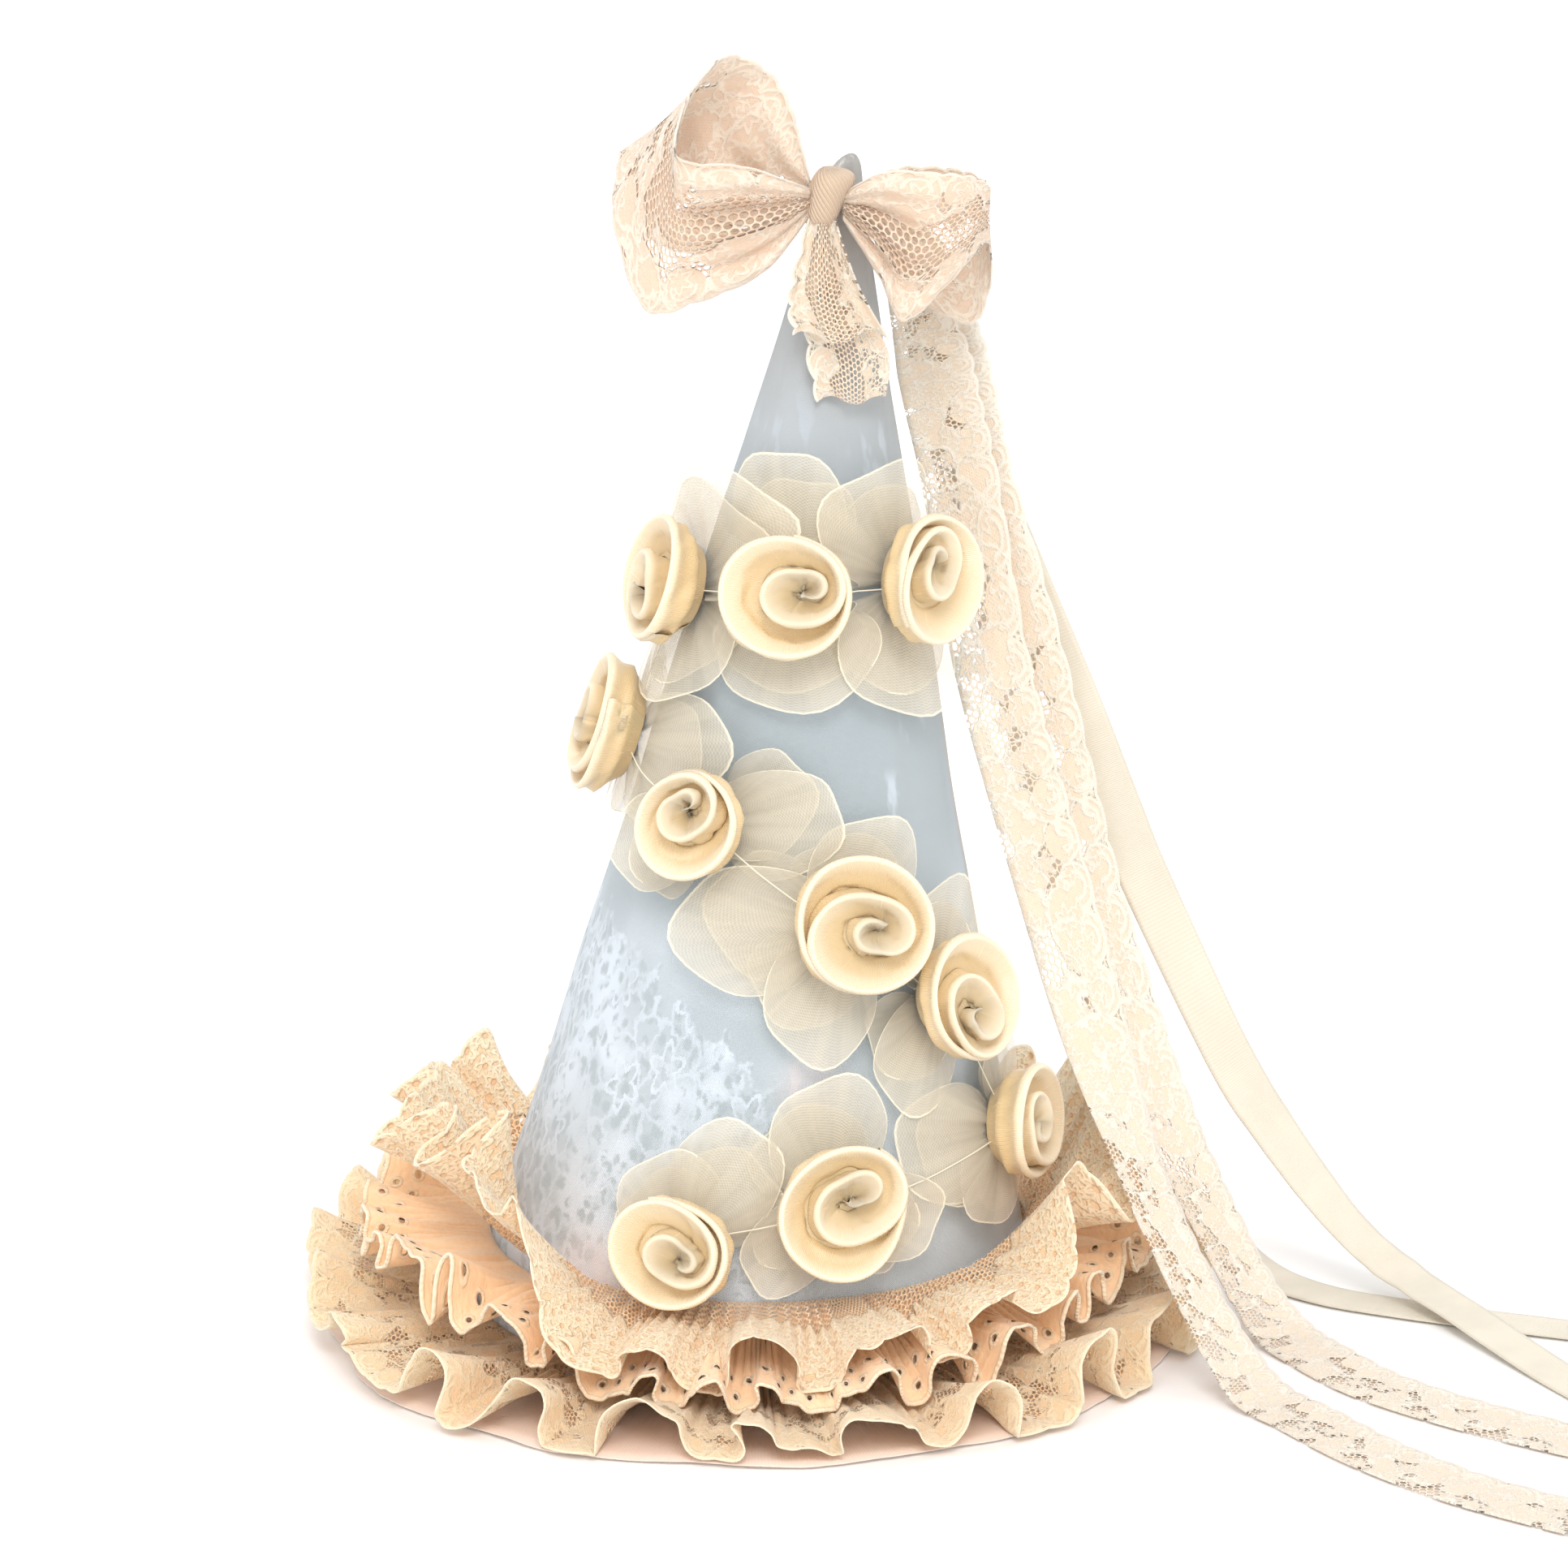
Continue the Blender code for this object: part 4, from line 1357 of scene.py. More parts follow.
@dataclass
class Brim:
    """The flat base flounce and the three gathered layers on it.

    Attributes:
        stands: How steeply the layers stand round the cone.
        low_angle: Stand below which a layer starts to lie low.
        clearance: Middle of a sewn edge, off the cone.
        base_radii: Inner and outer radius of the base flounce.
        base_front: How much further it reaches at the front.
        base_wall: Its thickness.
        columns: Faces round a layer.
        rows: Faces across a layer.
        layers: The gathered layers, from the lowest.
    """

    stands: tuple[Stand, ...] = (
        Stand(-180, 48), Stand(-164, 52), Stand(-150, 60), Stand(-138, 56), Stand(-122, 10),
        Stand(-108, -14), Stand(-76, -16), Stand(-60, -8), Stand(-44, 18), Stand(-24, 38), Stand(6, 42),
        Stand(54, 6), Stand(120, 8), Stand(150, 32))
    low_angle: float = 34.0
    clearance: float = 0.9 * MM
    base_radii: tuple[float, float] = (68.3 * MM, 102.0 * MM)
    base_front: float = 5.0 * MM
    base_wall: float = 0.3 * MM
    columns: int = 1400
    rows: int = 26
    layers: tuple[Ruffle, ...] = (
        Ruffle("lace_flounce", "blush_lace", Finish.FLOUNCE, root=5.0, width=41.0, share=0.06, rise=4.0,
               wave=9.8, calm=0.24, folds=23, swing=3.6, low_cut=0.0, curl=2.6, arch=8.0, scallop=0.9,
               wall=0.35),
        Ruffle("eyelet_frill", "eyelet_cotton", Finish.FRILL, root=19.5, width=30.0, share=0.36,
               rise=-10.4, wave=8.0, calm=0.30, folds=33, swing=2.8, low_cut=0.0, curl=1.6, arch=6.2,
               scallop=0.6, wall=0.6),
        Ruffle("upper_ruffle", "embroidered_net", Finish.UPPER, root=23.0, width=34.0, share=1.0, rise=4.4,
               wave=10.0, calm=0.06, folds=19, swing=5.2, low_cut=0.10, curl=3.0, arch=9.0, scallop=1.5,
               wall=0.3),
    )

    def build(self) -> None:
        """Makes the layers, from the lowest."""
        self._build_base()
        for layer in self.layers:
            self._build_layer(layer)

    def _build_base(self) -> None:
        """The flat ring of voile on the surface, with a barely wavy edge."""
        inner, outer = self.base_radii

        def point(around: float, out: float) -> Vector:
            """A point of the ring, from shares round it and outwards."""
            angle = math.tau * around
            front = eased((-0.1 - math.sin(angle)) * 1.4)
            reach = inner + (outer + self.base_front * front - inner) * out
            reach += 1.1 * MM * out ** 3 * (math.sin(12 * angle) + 0.5 * wander_round(angle, 30.0, 5.0))
            lift = 0.65 * MM + 0.35 * MM * out * (1.0 + wander_round(angle, 22.0, 9.0))
            return Vector((reach * math.cos(angle), reach * math.sin(angle), lift))

        around = math.tau * outer
        bm = woven(360, 8, point, (around, outer - inner), ring=True)
        bmesh.ops.reverse_faces(bm, faces=bm.faces)
        piece = finish_piece("voile_flounce", bm, [Finish.BASE], "blush_lace", ["base_flounce"],
                             wall=self.base_wall)

    def _build_layer(self, layer: Ruffle) -> None:
        """One gathered layer, cut as a long straight strip.

        Args:
            layer: Which layer.
        """
        line = traced(lambda around: self._point(layer, around, 0.8, 1.0), 900)
        scallops = round(length_of(line) / (layer.arch * MM))
        flat_length = scallops * layer.arch * MM
        bm = woven(self.columns, self.rows, lambda u, v: self._point(layer, u, v, scallops),
                   (flat_length, layer.finish.value.width), ring=True)
        piece = finish_piece("gathered_" + layer.name, bm, [layer.finish], layer.slot, [layer.name],
                             wall=layer.wall * MM)
        log.info("%s is cut %.3f m long, with %.4f m2 of cloth", layer.name, flat_length, area_of(piece))

    def _stand(self, turn: float) -> float:
        """The stand at a turn, eased between the table's rows."""
        turn = (turn + 180.0) % 360.0 - 180.0
        for row, following in zip(self.stands, self.stands[1:] + self.stands[:1]):
            end = following.turn + (360.0 if following.turn <= row.turn else 0.0)
            if row.turn <= turn <= end:
                share = eased((turn - row.turn) / (end - row.turn))
                return row.angle * (1.0 - share) + following.angle * share
        return self.stands[0].angle

    def _point(self, layer: Ruffle, around: float, share: float, scallops: float) -> Vector:
        """A point of a gathered layer.

        Args:
            layer: Which layer.
            around: The way round, from the back.
            share: 0 at the sewn edge and 1 at the free edge.
            scallops: Scallops in the layer's whole length.

        Returns:
            The point.
        """
        angle = math.tau * around + 0.5 * math.pi
        stand = self._stand(math.degrees(angle))
        tilt = math.radians(layer.share * stand + layer.rise)
        loose = max(0.0, (share - layer.calm) / (1.0 - layer.calm)) ** 1.2
        beat = layer.folds * angle + 0.7 * math.sin(3 * angle + layer.root) + 0.4 * math.sin(7 * angle)
        beat += 2.6 * wander_round(angle, layer.folds * 0.45, layer.root)
        size = layer.wave * (1.0 + 0.25 * math.sin(5 * angle + layer.root)) * (0.7 + 0.45 * math.sin(tilt))
        size *= 1.0 + 0.55 * wander_round(angle, layer.folds * 0.8, layer.root + 3.0)
        width = layer.width * (1.0 - layer.low_cut * max(0.0, 1.0 - stand / self.low_angle))
        reach = share * width * (1.0 + 0.03 * math.sin(4 * angle + layer.root))
        reach *= 1.0 + 0.07 * share * wander_round(angle, 16.0, layer.root + 14.0)
        crest = abs(math.sin(math.pi * around * scallops)) ** 0.6 - 0.7
        reach += layer.scallop * crest * max(0.0, share * 4.0 - 3.0)
        lean = 1.9 * wander_round(angle, 10.0, layer.root + 20.0)
        sway = -loose * layer.swing * MM * (math.sin(2 * beat) + lean * math.sin(beat)) / CONE.rim_radius
        ripple = loose * size * math.sin(beat + 0.35 * math.sin(angle * 11.0))
        ripple += 0.95 * math.sin(7.0 * beat) * eased(share / 0.10) * (1.0 - 0.85 * share)
        turned = wander_round(angle, layer.folds * 1.6, layer.root + 8.0)
        ripple += layer.curl * max(0.0, share * 3.0 - 2.0) ** 1.5 * turned
        height = layer.root + reach * math.sin(tilt) + ripple * math.cos(tilt)
        radius = reach * math.cos(tilt) - ripple * math.sin(tilt)
        root, _ = CONE.spot(math.degrees(angle), layer.root * MM, self.clearance)
        outward = Vector((math.cos(angle + sway), math.sin(angle + sway), 0.0))
        place = Vector((root.x, root.y, 0.0)) + outward * radius * MM
        place.z = max(height, 0.9 + 0.2 * layer.root) * MM
        return place


# ---------------------------------------------------------------- garland


def gather(sheets: Iterable[bmesh.types.BMesh]) -> bmesh.types.BMesh:
    """Several sheets as one mesh.

    Args:
        sheets: The sheets, freed here.

    Returns:
        The mesh that holds them all.
    """
    whole = bmesh.new()
    for sheet in sheets:
        carrier = bpy.data.meshes.new("carrier")
        sheet.to_mesh(carrier)
        sheet.free()
        whole.from_mesh(carrier)
        bpy.data.meshes.remove(carrier)
    return whole


class LoopSpot(NamedTuple):
    """An organza loop behind a rose: aim is 0 to the right and 90 up, seen from outside. Lengths in mm."""

    aim: float
    reach: float
    spread: float
    lift: float


class RoseSpot(NamedTuple):
    """Where a rose sits on the cone, how its spiral is turned, and its loops. Lengths in mm."""

    name: str
    turn: float
    height: float
    radius: float
    spin: float
    loops: tuple[LoopSpot, ...]


def rose_spot(name: str, turn: float, height: float, radius: float, spin: float,
              *loops: tuple[float, ...]) -> RoseSpot:
    """A rose and its loops.

    Args:
        name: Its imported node.
        turn: Degrees round the cone.
        height: Height on the cone, in mm.
        radius: Its radius, in mm.
        spin: Degrees that its spiral is turned.
        *loops: Aim, reach, spread and lift of each loop.

    Returns:
        The rose.
    """
    return RoseSpot(name, turn, height, radius, spin, tuple(LoopSpot(*row) for row in loops))


@dataclass
class Garland:
    """Ten wound satin roses on organza loops, and the thread that they are sewn along.

    Attributes:
        roses: The roses in sewing order.
        stand_off: Back of a rose, off the cone.
        turns: Turns of a rose's spiral.
        opening: Radius of its lip along the ribbon, against the rose's.
        drift: How far the inner turns lie to one side.
        tucked: Where along the ribbon its end starts to lie against the turn inside it.
        depth: Height of a rose's heart.
        lip: Radius of the rolled lip.
        rolled: Share of the ribbon's half width that rolls over the lip.
        sunk: Lowest that the ribbon goes, below the rose's back.
        ribbon: Width of the flat satin ribbon; not used.
        satin_left: Built area for each unit of cut satin: finer pleats take up the rest; not used.
        layers: Middle of the organza, off the cone, for every other rose.
        gap: Half the distance between a loop's two layers.
        nearest: Least distance of the organza off the cone.
        organza_left: Built area for each unit of cut organza; not used.
        thread: Radius of the thread.
        thread_off: Distance of the thread off the cone at a rose.
        thread_sag: How much it sinks between two roses.
    """

    roses: tuple[RoseSpot, ...] = (
        rose_spot("rose_01", -42, 181, 14.3, 20, (112, 27, 42, 3), (-100, 30, 44, 3)),
        rose_spot("rose_02", -98, 180, 14.7, 250, (96, 32, 31, 0), (-85, 26, 52, 0)),
        rose_spot("rose_03", -158, 177, 14.6, 120, (58, 30, 42, 9), (-62, 26, 44, 4)),
        rose_spot("rose_04", -170, 141, 15.5, 200, (90, 22, 40, 0), (-5, 33, 32, 0), (-100, 23, 38, 0)),
        rose_spot("rose_05", -119, 128, 12.4, 310, (216, 25, 40, 4), (14, 29, 36, 2)),
        rose_spot("rose_06", -73, 106, 16.2, 60, (176, 37, 28, 0), (242, 31, 30, 0), (78, 25, 48, 0)),
        rose_spot("rose_07", -43, 86, 14.3, 100, (92, 27, 42, 4), (222, 27, 32, 2)),
        rose_spot("rose_08", -25, 52, 12.6, 160, (180, 35, 30, 0), (62, 25, 38, 0), (245, 24, 36, 0)),
        rose_spot("rose_09", -75, 44, 15.4, 220, (106, 29, 36, 2), (-24, 26, 34, 3), (214, 25, 32, 2)),
        rose_spot("rose_10", -107, 35, 13.4, 280, (58, 30, 38, 0), (122, 21, 42, 0)),
    )
    stand_off: float = 5.2 * MM
    turns: float = 2.55
    opening: tuple[tuple[float], ...] = (
        (0.17,), (0.25,), (0.34,), (0.44,), (0.55,), (0.70,), (0.86,), (0.97,), (1.0,), (0.97,), (0.862,))
    drift: float = 0.36
    tucked: float = 0.84
    depth: float = 12.0 * MM
    lip: float = 0.75 * MM
    rolled: float = 0.16
    sunk: float = 2.6 * MM
    ribbon: float = 0.030
    satin_left: float = 0.9
    layers: tuple[float, float] = (2.0 * MM, 4.0 * MM)
    gap: float = 1.1 * MM
    nearest: float = 0.9 * MM
    organza_left: float = 0.8
    thread: float = 0.16 * MM
    thread_off: float = 6.4 * MM
    thread_sag: float = 0.6 * MM

    def build(self) -> None:
        """Makes the organza, the roses and the thread."""
        for order, rose in enumerate(self.roses):
            self._build_loops(rose, order)
            self._build_rose(rose, order)
        self._build_thread()

    @staticmethod
    def _axes(rose: RoseSpot, off: float) -> tuple[Vector, Vector, Vector, Vector]:
        """A rose's back, with its right, up and outward directions."""
        foot, outward = CONE.spot(rose.turn, rose.height * MM, off)
        right = Vector((0.0, 0.0, 1.0)).cross(outward).normalized()
        return foot, right, outward.cross(right), outward

    def _build_rose(self, rose: RoseSpot, order: int) -> None:
        """One rose: a ribbon folded along its middle and wound in an opening spiral.

        Args:
            rose: Which rose.
            order: Its place in the garland.
        """
        length = length_of(traced(lambda share: self._rose_point(rose, order, share, 0.5), 120))
        bm = woven(210, 30, lambda u, v: self._rose_point(rose, order, u, v),
                   (length, Finish.SATIN.value.width))
        piece = finish_piece("satin_" + rose.name, bm, [Finish.SATIN], "cream_satin", [rose.name])

    def _rose_point(self, rose: RoseSpot, order: int, share: float, side: float) -> Vector:
        """A point of a rose's ribbon.

        Args:
            rose: Which rose.
            order: Its place in the garland, which seeds its folds.
            share: The way along the ribbon, from the heart.
            side: The way across it: 0 outer root, 0.5 rolled lip, 1 inner root.

        Returns:
            The point.
        """
        foot, right, up, outward = self._axes(rose, self.stand_off)
        seed = order * 2.3 + 1.0
        lip, rise = self._rose_lip(rose, seed, share)
        across = 2.0 * side - 1.0
        roll = min(1.0, abs(across) / self.rolled)
        fall = max(0.0, (abs(across) - self.rolled) / (1.0 - self.rolled))
        crown = self.lip * (math.sqrt(max(0.0, 1.0 - roll ** 2)) - 1.0)
        crease = 1.0 - abs(math.sin(math.pi * (1.7 * fall + 0.5 * wander(share * 6.0, seed + 8.0, 1))))
        bend = wander(share * 30.0 + 2.0 * across, seed + 5.0, 2)
        pucker = MM * math.sin(math.pi * fall) * (0.9 * bend + 1.7 * crease)
        if across < 0.0:
            girth = max(lip.length, 0.1 * MM)
            flat = lip * (1.0 + (self.lip * roll - 0.36 * girth * fall ** 1.5 + pucker) / girth)
            height = rise * (1.0 - fall ** 1.25) + crown
        else:
            inner, inner_rise = self._rose_lip(rose, seed, share - 1.0 / self.turns)
            if share * self.turns < 1.0:
                close = eased(share * self.turns)
                across_heart, _ = self._rose_lip(rose, seed, share + 0.5 / self.turns)
                inner = (lip * 0.45 + across_heart * 0.55).lerp(inner, close)
                inner_rise = rise - 2.0 * MM * (1.0 - close)
            way = inner - lip
            reach = max(way.length, 0.1 * MM)
            flat = lip + way * ((self.lip * roll + (reach - self.lip) * fall ** 0.85 + pucker) / reach)
            drop = (1.3 + 3.2 * share) * MM
            floor_height = min(inner_rise - drop, rise - 0.8 * drop)
            height = rise + crown + (floor_height - rise) * math.sin(0.5 * math.pi * fall) ** 0.9
            height -= 0.8 * MM * math.sin(math.pi * fall)
        return foot + right * flat.x + up * flat.y + outward * max(height, -self.sunk)

    def _rose_lip(self, rose: RoseSpot, seed: float, share: float) -> tuple[Vector, float]:
        """Where the rolled lip of a rose's ribbon is.

        Args:
            rose: Which rose.
            seed: Seed of its bends.
            share: The way along the ribbon.

        Returns:
            Its place in the rose's plane and its height.
        """
        share = max(share, 0.0)
        size = rose.radius * MM
        angle = math.radians(rose.spin) + math.tau * self.turns * share
        ratio = spline(self.opening, share)[0]
        radius = size * ratio * (1.0 + 0.09 * min(1.0, 2.0 * share) * wander(share * 9.0, seed, 1))
        oval = 1.0 + 0.36 * math.cos(2.0 * (angle - seed)) * max(0.0, 1.0 - share) ** 1.6
        radius *= oval
        centre = size * self.drift * (1.0 - ratio)
        rise = self.depth * (1.0 - 0.26 * share ** 1.6) + 1.3 * MM * wander(share * 7.0 + 4.0, seed + 11.0, 1)
        place = Vector((math.cos(angle) * radius + centre * math.cos(2.0 * seed),
                        math.sin(angle) * radius + centre * math.sin(2.0 * seed), 0.0))
        if share > self.tucked:
            inner, inner_rise = self._rose_lip(rose, seed, share - 1.0 / self.turns)
            tuck = eased((share - self.tucked) / (1.0 - self.tucked))
            place, rise = place.lerp(inner * 1.03, tuck), rise + (inner_rise - 0.9 * MM - rise) * tuck
        return place, rise

    def _build_loops(self, rose: RoseSpot, order: int) -> None:
        """The organza loops behind one rose.

        Args:
            rose: Which rose.
            order: Its place in the garland.
        """
        width = Finish.ORGANZA.value.width
        sheets = [
            woven(72, 18, lambda u, v, spot=loop: self._loop_point(rose, spot, order, u, v),
                  (2.6 * loop.reach * MM, width), ring=True)
            for loop in rose.loops]
        piece = finish_piece("organza_loops" + rose.name[4:], gather(sheets), [Finish.ORGANZA],
                             "ivory_organza", [rose.name.replace("rose", "organza")])

    def _loop_point(self, rose: RoseSpot, loop: LoopSpot, order: int, around: float, out: float) -> Vector:
        """A point of an organza loop, a flattened tube that opens outwards.

        Args:
            rose: The rose that it is behind.
            loop: Which loop.
            order: The rose's place in the garland.
            around: The way round the loop, through its front and its back.
            out: The way from the rose to the selvedge.

        Returns:
            The point.
        """
        phase = math.tau * around
        side, layer = math.cos(phase), math.sin(phase)
        seed = loop.aim * 0.37 + order
        bend = side * 0.76 * math.pi + 0.16 * layer * math.sin(seed)
        reach = loop.reach * MM * (0.91 + 0.10 * layer + 0.035 * math.sin(4.0 * bend + seed))
        ahead = reach * (0.08 + 0.92 * out) * (0.54 + 0.46 * math.cos(bend))
        half = loop.reach * MM * 0.76 * math.sin(math.radians(loop.spread))
        sideways = half * (0.10 + 0.90 * out) * math.sin(bend) * (1.0 + 0.10 * math.sin(2.0 * seed) * out)
        aim = math.radians(loop.aim + 14.0 * layer * math.cos(seed))
        right = ahead * math.cos(aim) - sideways * math.sin(aim)
        rise = ahead * math.sin(aim) + sideways * math.cos(aim)
        height = rose.height * MM + rise
        turn = rose.turn + math.degrees(right / CONE.radius(height))
        puff = self.gap * layer * (0.3 + 0.7 * math.sin(math.pi * min(1.0, out * 0.8)))
        crease = 0.60 * MM * math.sin(3.0 * bend + seed) * min(1.0, out * 3.0)
        crease += 0.35 * MM * math.sin(8.0 * bend + 2.0 * seed) * (1.0 - out) * min(1.0, out * 6.0)
        sag = 0.7 * MM * out * wander(side * 1.8 + 3.0, seed, 1)
        off = self.layers[order % 2] + loop.lift * MM * out ** 2 + puff + crease + sag
        point, _ = CONE.spot(turn, height, max(off, self.nearest))
        return point

    def _build_thread(self) -> None:
        """The thread that runs from rose to rose, a little slack."""
        curve = bpy.data.curves.new("garland_thread", "CURVE")
        curve.dimensions = "3D"
        curve.bevel_depth, curve.bevel_resolution, curve.use_fill_caps = self.thread, 2, True
        line = curve.splines.new("POLY")
        points = []
        for rose, following in zip(self.roses, self.roses[1:]):
            for i in range(12):
                share = i / 12
                turn = rose.turn + (following.turn - rose.turn) * share
                height = rose.height + (following.height - rose.height) * share
                height += 2.0 * wander(share * 2.0 + rose.turn, 3.0, 1)
                off = self.thread_off - self.thread_sag * math.sin(math.pi * share)
                points.append(CONE.spot(turn, height * MM, off)[0])
        line.points.add(len(points) - 1)
        for knot, point in zip(line.points, points):
            knot.co = (*point, 1.0)
        thread = bpy.data.objects.new("garland_thread", curve)
        curve.materials.append(material_of(Finish.THREAD))
        bpy.context.scene.collection.objects.link(thread)
        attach(thread, BODY)


# ---------------------------------------------------------------- bow


class Station(NamedTuple):
    """A place along a loop: the ribbon's edge at the loop's mouth and its far edge, in mm."""

    mouth_x: float
    mouth_y: float
    mouth_z: float
    far_x: float
    far_y: float
    far_z: float


class TailRow(NamedTuple):
    """A level of a short tail: its height, left and right edge, how far in front and its pleats, in mm."""

    height: float
    left: float
    right: float
    front: float
    ripple: float


def stations(*rows: tuple[float, ...]) -> tuple[Station, ...]:
    """Stations from rows of six values."""
    return tuple(Station(*row) for row in rows)


@dataclass
class Bow:
    """The wide lace bow: two loops, the band round its middle and two short tails.

    Attributes:
        left: Stations of the left loop.
        right: Stations of the right loop.
        pleat: Depth of the outline's pleats.
        gathers: Depth of the gathers that run from the knot.
        scallops: Scallops along a loop.
        scallop: Their depth.
        wall: Thickness of the lace.
        lace_left: Built area for each unit of cut lace: finer gathers take up the rest.
        knot_middle: Middle of the band.
        knot_radii: Half its width, depth and height.
        knot_flat: Length and width of its flat cloth.
        tails: The rows of each tail.
    """

    left: tuple[Station, ...] = stations(
        (13.4, -12.5, 271, 13.4, -12.5, 265), (-1, -18, 277, 3, -18, 253),
        (-16, -23, 280, -12, -21, 246.5), (-15, -21, 291, -24, -19, 244.5),
        (-10, -17, 298, -31, -11, 262), (-4, -12, 301.5, -30.5, -3, 274), (5, -5, 296, -29, 1, 276),
        (9.5, -5, 288, -24, 1, 258), (11.5, -6.5, 280, -6, -1, 254), (13.4, -8.2, 272, 13.4, -8.2, 266))
    right: tuple[Station, ...] = stations(
        (20.8, -12.5, 264, 20.8, -12.5, 270), (29, -19, 252, 30, -16, 275.5),
        (34.5, -25, 243, 42, -19, 275.8), (46, -21, 252.5, 50, -16, 274.5),
        (53, -14.5, 259, 54, -11, 271.5), (54.5, -8, 248, 50, -7, 274), (50, -3.5, 238, 42, -5, 275),
        (37, -3, 245, 32, -5.5, 274.5), (27.4, -6.5, 259, 26.5, -7.5, 270),
        (20.8, -9.0, 265, 20.8, -9.0, 269))
    pleat: float = 1.6 * MM
    gathers: float = 3.0 * MM
    scallops: float = 17.0
    scallop: float = 0.9 * MM
    wall: float = 0.4 * MM
    lace_left: float = 0.85
    knot_middle: Vector = field(default_factory=lambda: Vector((16.9, -10.9, 268.6)) * MM)
    knot_radii: tuple[float, float, float] = (4.7 * MM, 5.6 * MM, 7.2 * MM)
    knot_flat: tuple[float, float] = (0.034, 0.018)
    tails: dict[str, tuple[TailRow, ...]] = field(default_factory=lambda: {
        "bow_tail_upper": (TailRow(264.5, 13, 19, -14.4, 0.6), TailRow(253, 9.5, 23, -17.5, 2.2),
                           TailRow(245, 8.2, 27, -19.5, 2.6), TailRow(238.5, 9.5, 31, -20.5, 2.8)),
        "bow_tail_lower": (TailRow(258.5, 14, 20, -12.2, 0.1), TailRow(246, 12, 24.5, -14.2, 0.4),
                           TailRow(234, 12.4, 31, -16.6, 0.8), TailRow(223.5, 14.6, 30.5, -17.6, 1.1)),
    })

    def build(self) -> None:
        """Makes the bow's pieces."""
        for name, rows, seed in (("bow_loop_left", self.left, 1.0), ("bow_loop_right", self.right, 2.0)):
            self._build_loop(name, rows, seed)
        self._build_knot()
        for order, (name, rows) in enumerate(self.tails.items()):
            self._build_tail(name, rows, order)

    def _build_loop(self, name: str, rows: tuple[Station, ...], seed: float) -> None:
        """One loop: a ribbon out from the knot, round and back, gathered at both ends.

        Args:
            name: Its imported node.
            rows: Its stations.
            seed: Seed of its gathers.
        """
        width = Finish.BOW.value.width
        length = length_of(traced(lambda share: self._loop_point(rows, seed, share, 0.5), 80))
        bm = woven(210, 40, lambda u, v: self._loop_point(rows, seed, u, v), (length, width))
        piece = finish_piece("lace_" + name, bm, [Finish.BOW], "bow_lace", [name], wall=self.wall)

    def _loop_point(self, rows: tuple[Station, ...], seed: float, share: float, side: float) -> Vector:
        """A point of a loop.

        Args:
            rows: The loop's stations.
            seed: Seed of its gathers.
            share: The way along the ribbon.
            side: The way across it, from the mouth's edge.

        Returns:
            The point.
        """
        values = spline(rows, share)
        mouth, far = Vector(values[:3]) * MM, Vector(values[3:]) * MM
        pinch = math.sin(math.pi * share)
        facing = -1.0 if share < 0.5 else 1.0
        point = mouth.lerp(far, side)
        point.y += self.pleat * pinch * (math.sin(math.pi * side) - 0.4) * facing
        near = math.exp(-((pinch - 0.42) / 0.30) ** 2)
        inner = 1.0 - abs(2.0 * side - 1.0) ** 3
        folds = math.sin(math.tau * 2.5 * side + seed * 2.0) + 0.5 * math.sin(math.tau * 5.0 * side + seed)
        point.y += self.gathers * near * inner * folds
        cockle = wander(share * 9.0, seed + 3.0, 1) * 0.9
        cockle += wander(share * 14.0 + side * 5.0, seed + 6.0, 2) * 0.8
        point.y += 0.9 * MM * cockle * pinch
        arch = abs(math.sin(math.pi * share * self.scallops)) ** 0.6
        for edge, inward in ((0.0, far - mouth), (1.0, mouth - far)):
            close = max(0.0, 1.0 - abs(side - edge) * 8.0)
            point += inward.normalized() * self.scallop * (1.0 - arch) * close * pinch
        return point

    def _build_knot(self) -> None:
        """The band round the bow's middle, wound aslant."""
        wide, deep, tall = self.knot_radii

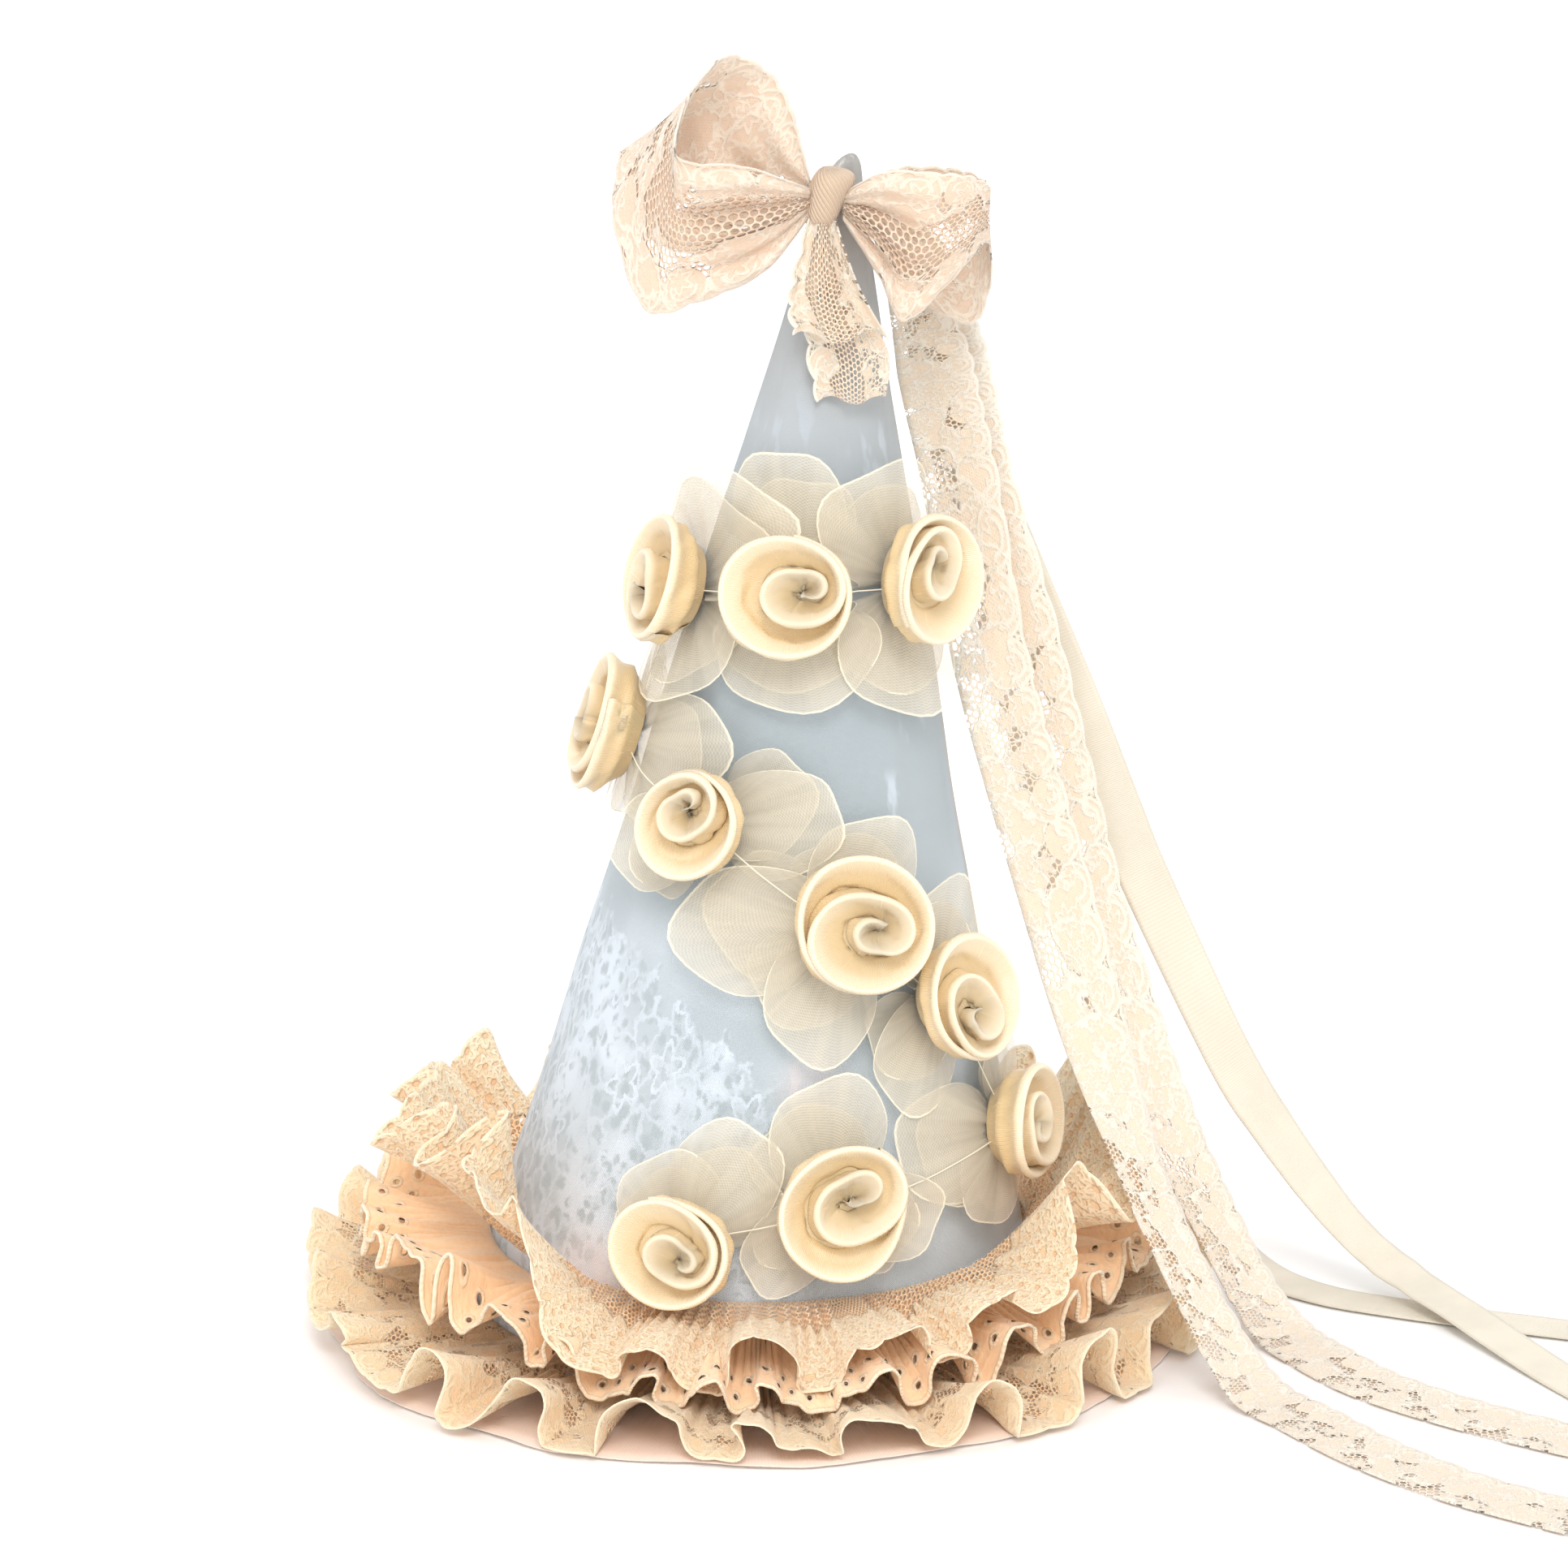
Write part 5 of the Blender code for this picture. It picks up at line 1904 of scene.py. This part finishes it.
        def point(around: float, up: float) -> Vector:
            """A point of the band, from shares round it and up it."""
            level = 2.0 * up - 1.0
            angle = math.tau * around
            girth = max(0.0, 1.0 - abs(level) ** 4.5) ** 0.5 * (1.0 + 0.16 * level)
            fold = 0.30 * MM * math.sin(3.0 * angle + level * 2.4) * girth
            lap = (math.degrees(angle) - 222.0 + 14.0 * level) / 6.0
            fold += 0.75 * MM * girth * (eased(lap + 0.5) - 1.0) * eased((math.degrees(angle) - 150.0) / 60.0)
            x = (wide * girth + fold) * math.cos(angle)
            y = (deep * girth + fold) * math.sin(angle)
            slant = 2.3 * MM * level * girth
            return self.knot_middle + Vector((x + slant, y, tall * level))

        bm = woven(72, 40, point, self.knot_flat, ring=True)
        bmesh.ops.remove_doubles(bm, verts=bm.verts, dist=0.005 * MM)
        finish_piece("knot_band", bm, [Finish.KNOT], "bow_lace", ["bow_knot"])

    def _build_tail(self, name: str, rows: tuple[TailRow, ...], order: int) -> None:
        """One short tail, scalloped down its left side.

        Args:
            name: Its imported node.
            rows: Its levels.
            order: Which tail.
        """
        def point(down: float, across: float) -> Vector:
            """A point of the tail, from shares down it and across it."""
            height, left, right, front, ripple = spline(rows, down)
            spot = right + (left - right) * across
            arch = abs(math.sin(math.pi * (down * 4.5 + 0.3 * order))) ** 0.7
            spot += (1.0 - arch) * 1.2 * max(0.0, across * 4.0 - 3.0) * min(1.0, down * 4.0)
            fold = math.sin(3.0 * math.pi * (1.0 - across) + 0.4)
            fold += 0.22 * math.sin(9.0 * math.pi * across + order)
            level = height + 0.9 * down * math.sin(across * 9.0 + order)
            return Vector((spot, front + ripple * fold, level)) * MM

        length = (rows[0].height - rows[-1].height) * MM
        bm = woven(80, 70, point, (length, Finish.TAIL.value.width))
        piece = finish_piece("lace_" + name, bm, [Finish.TAIL], "bow_lace", [name], wall=self.wall)
        wide = area_of(piece) / length / self.lace_left


def main() -> None:
    """Dresses the hat, from the camera and the ribbons to the bow."""
    logging.basicConfig(level=logging.INFO, format="%(name)s: %(message)s")
    Studio().build()
    for part in (Streamers(), HatCone(), Brim(), Garland(), Bow()):
        part.build()


if __name__ == "__main__":
    main()
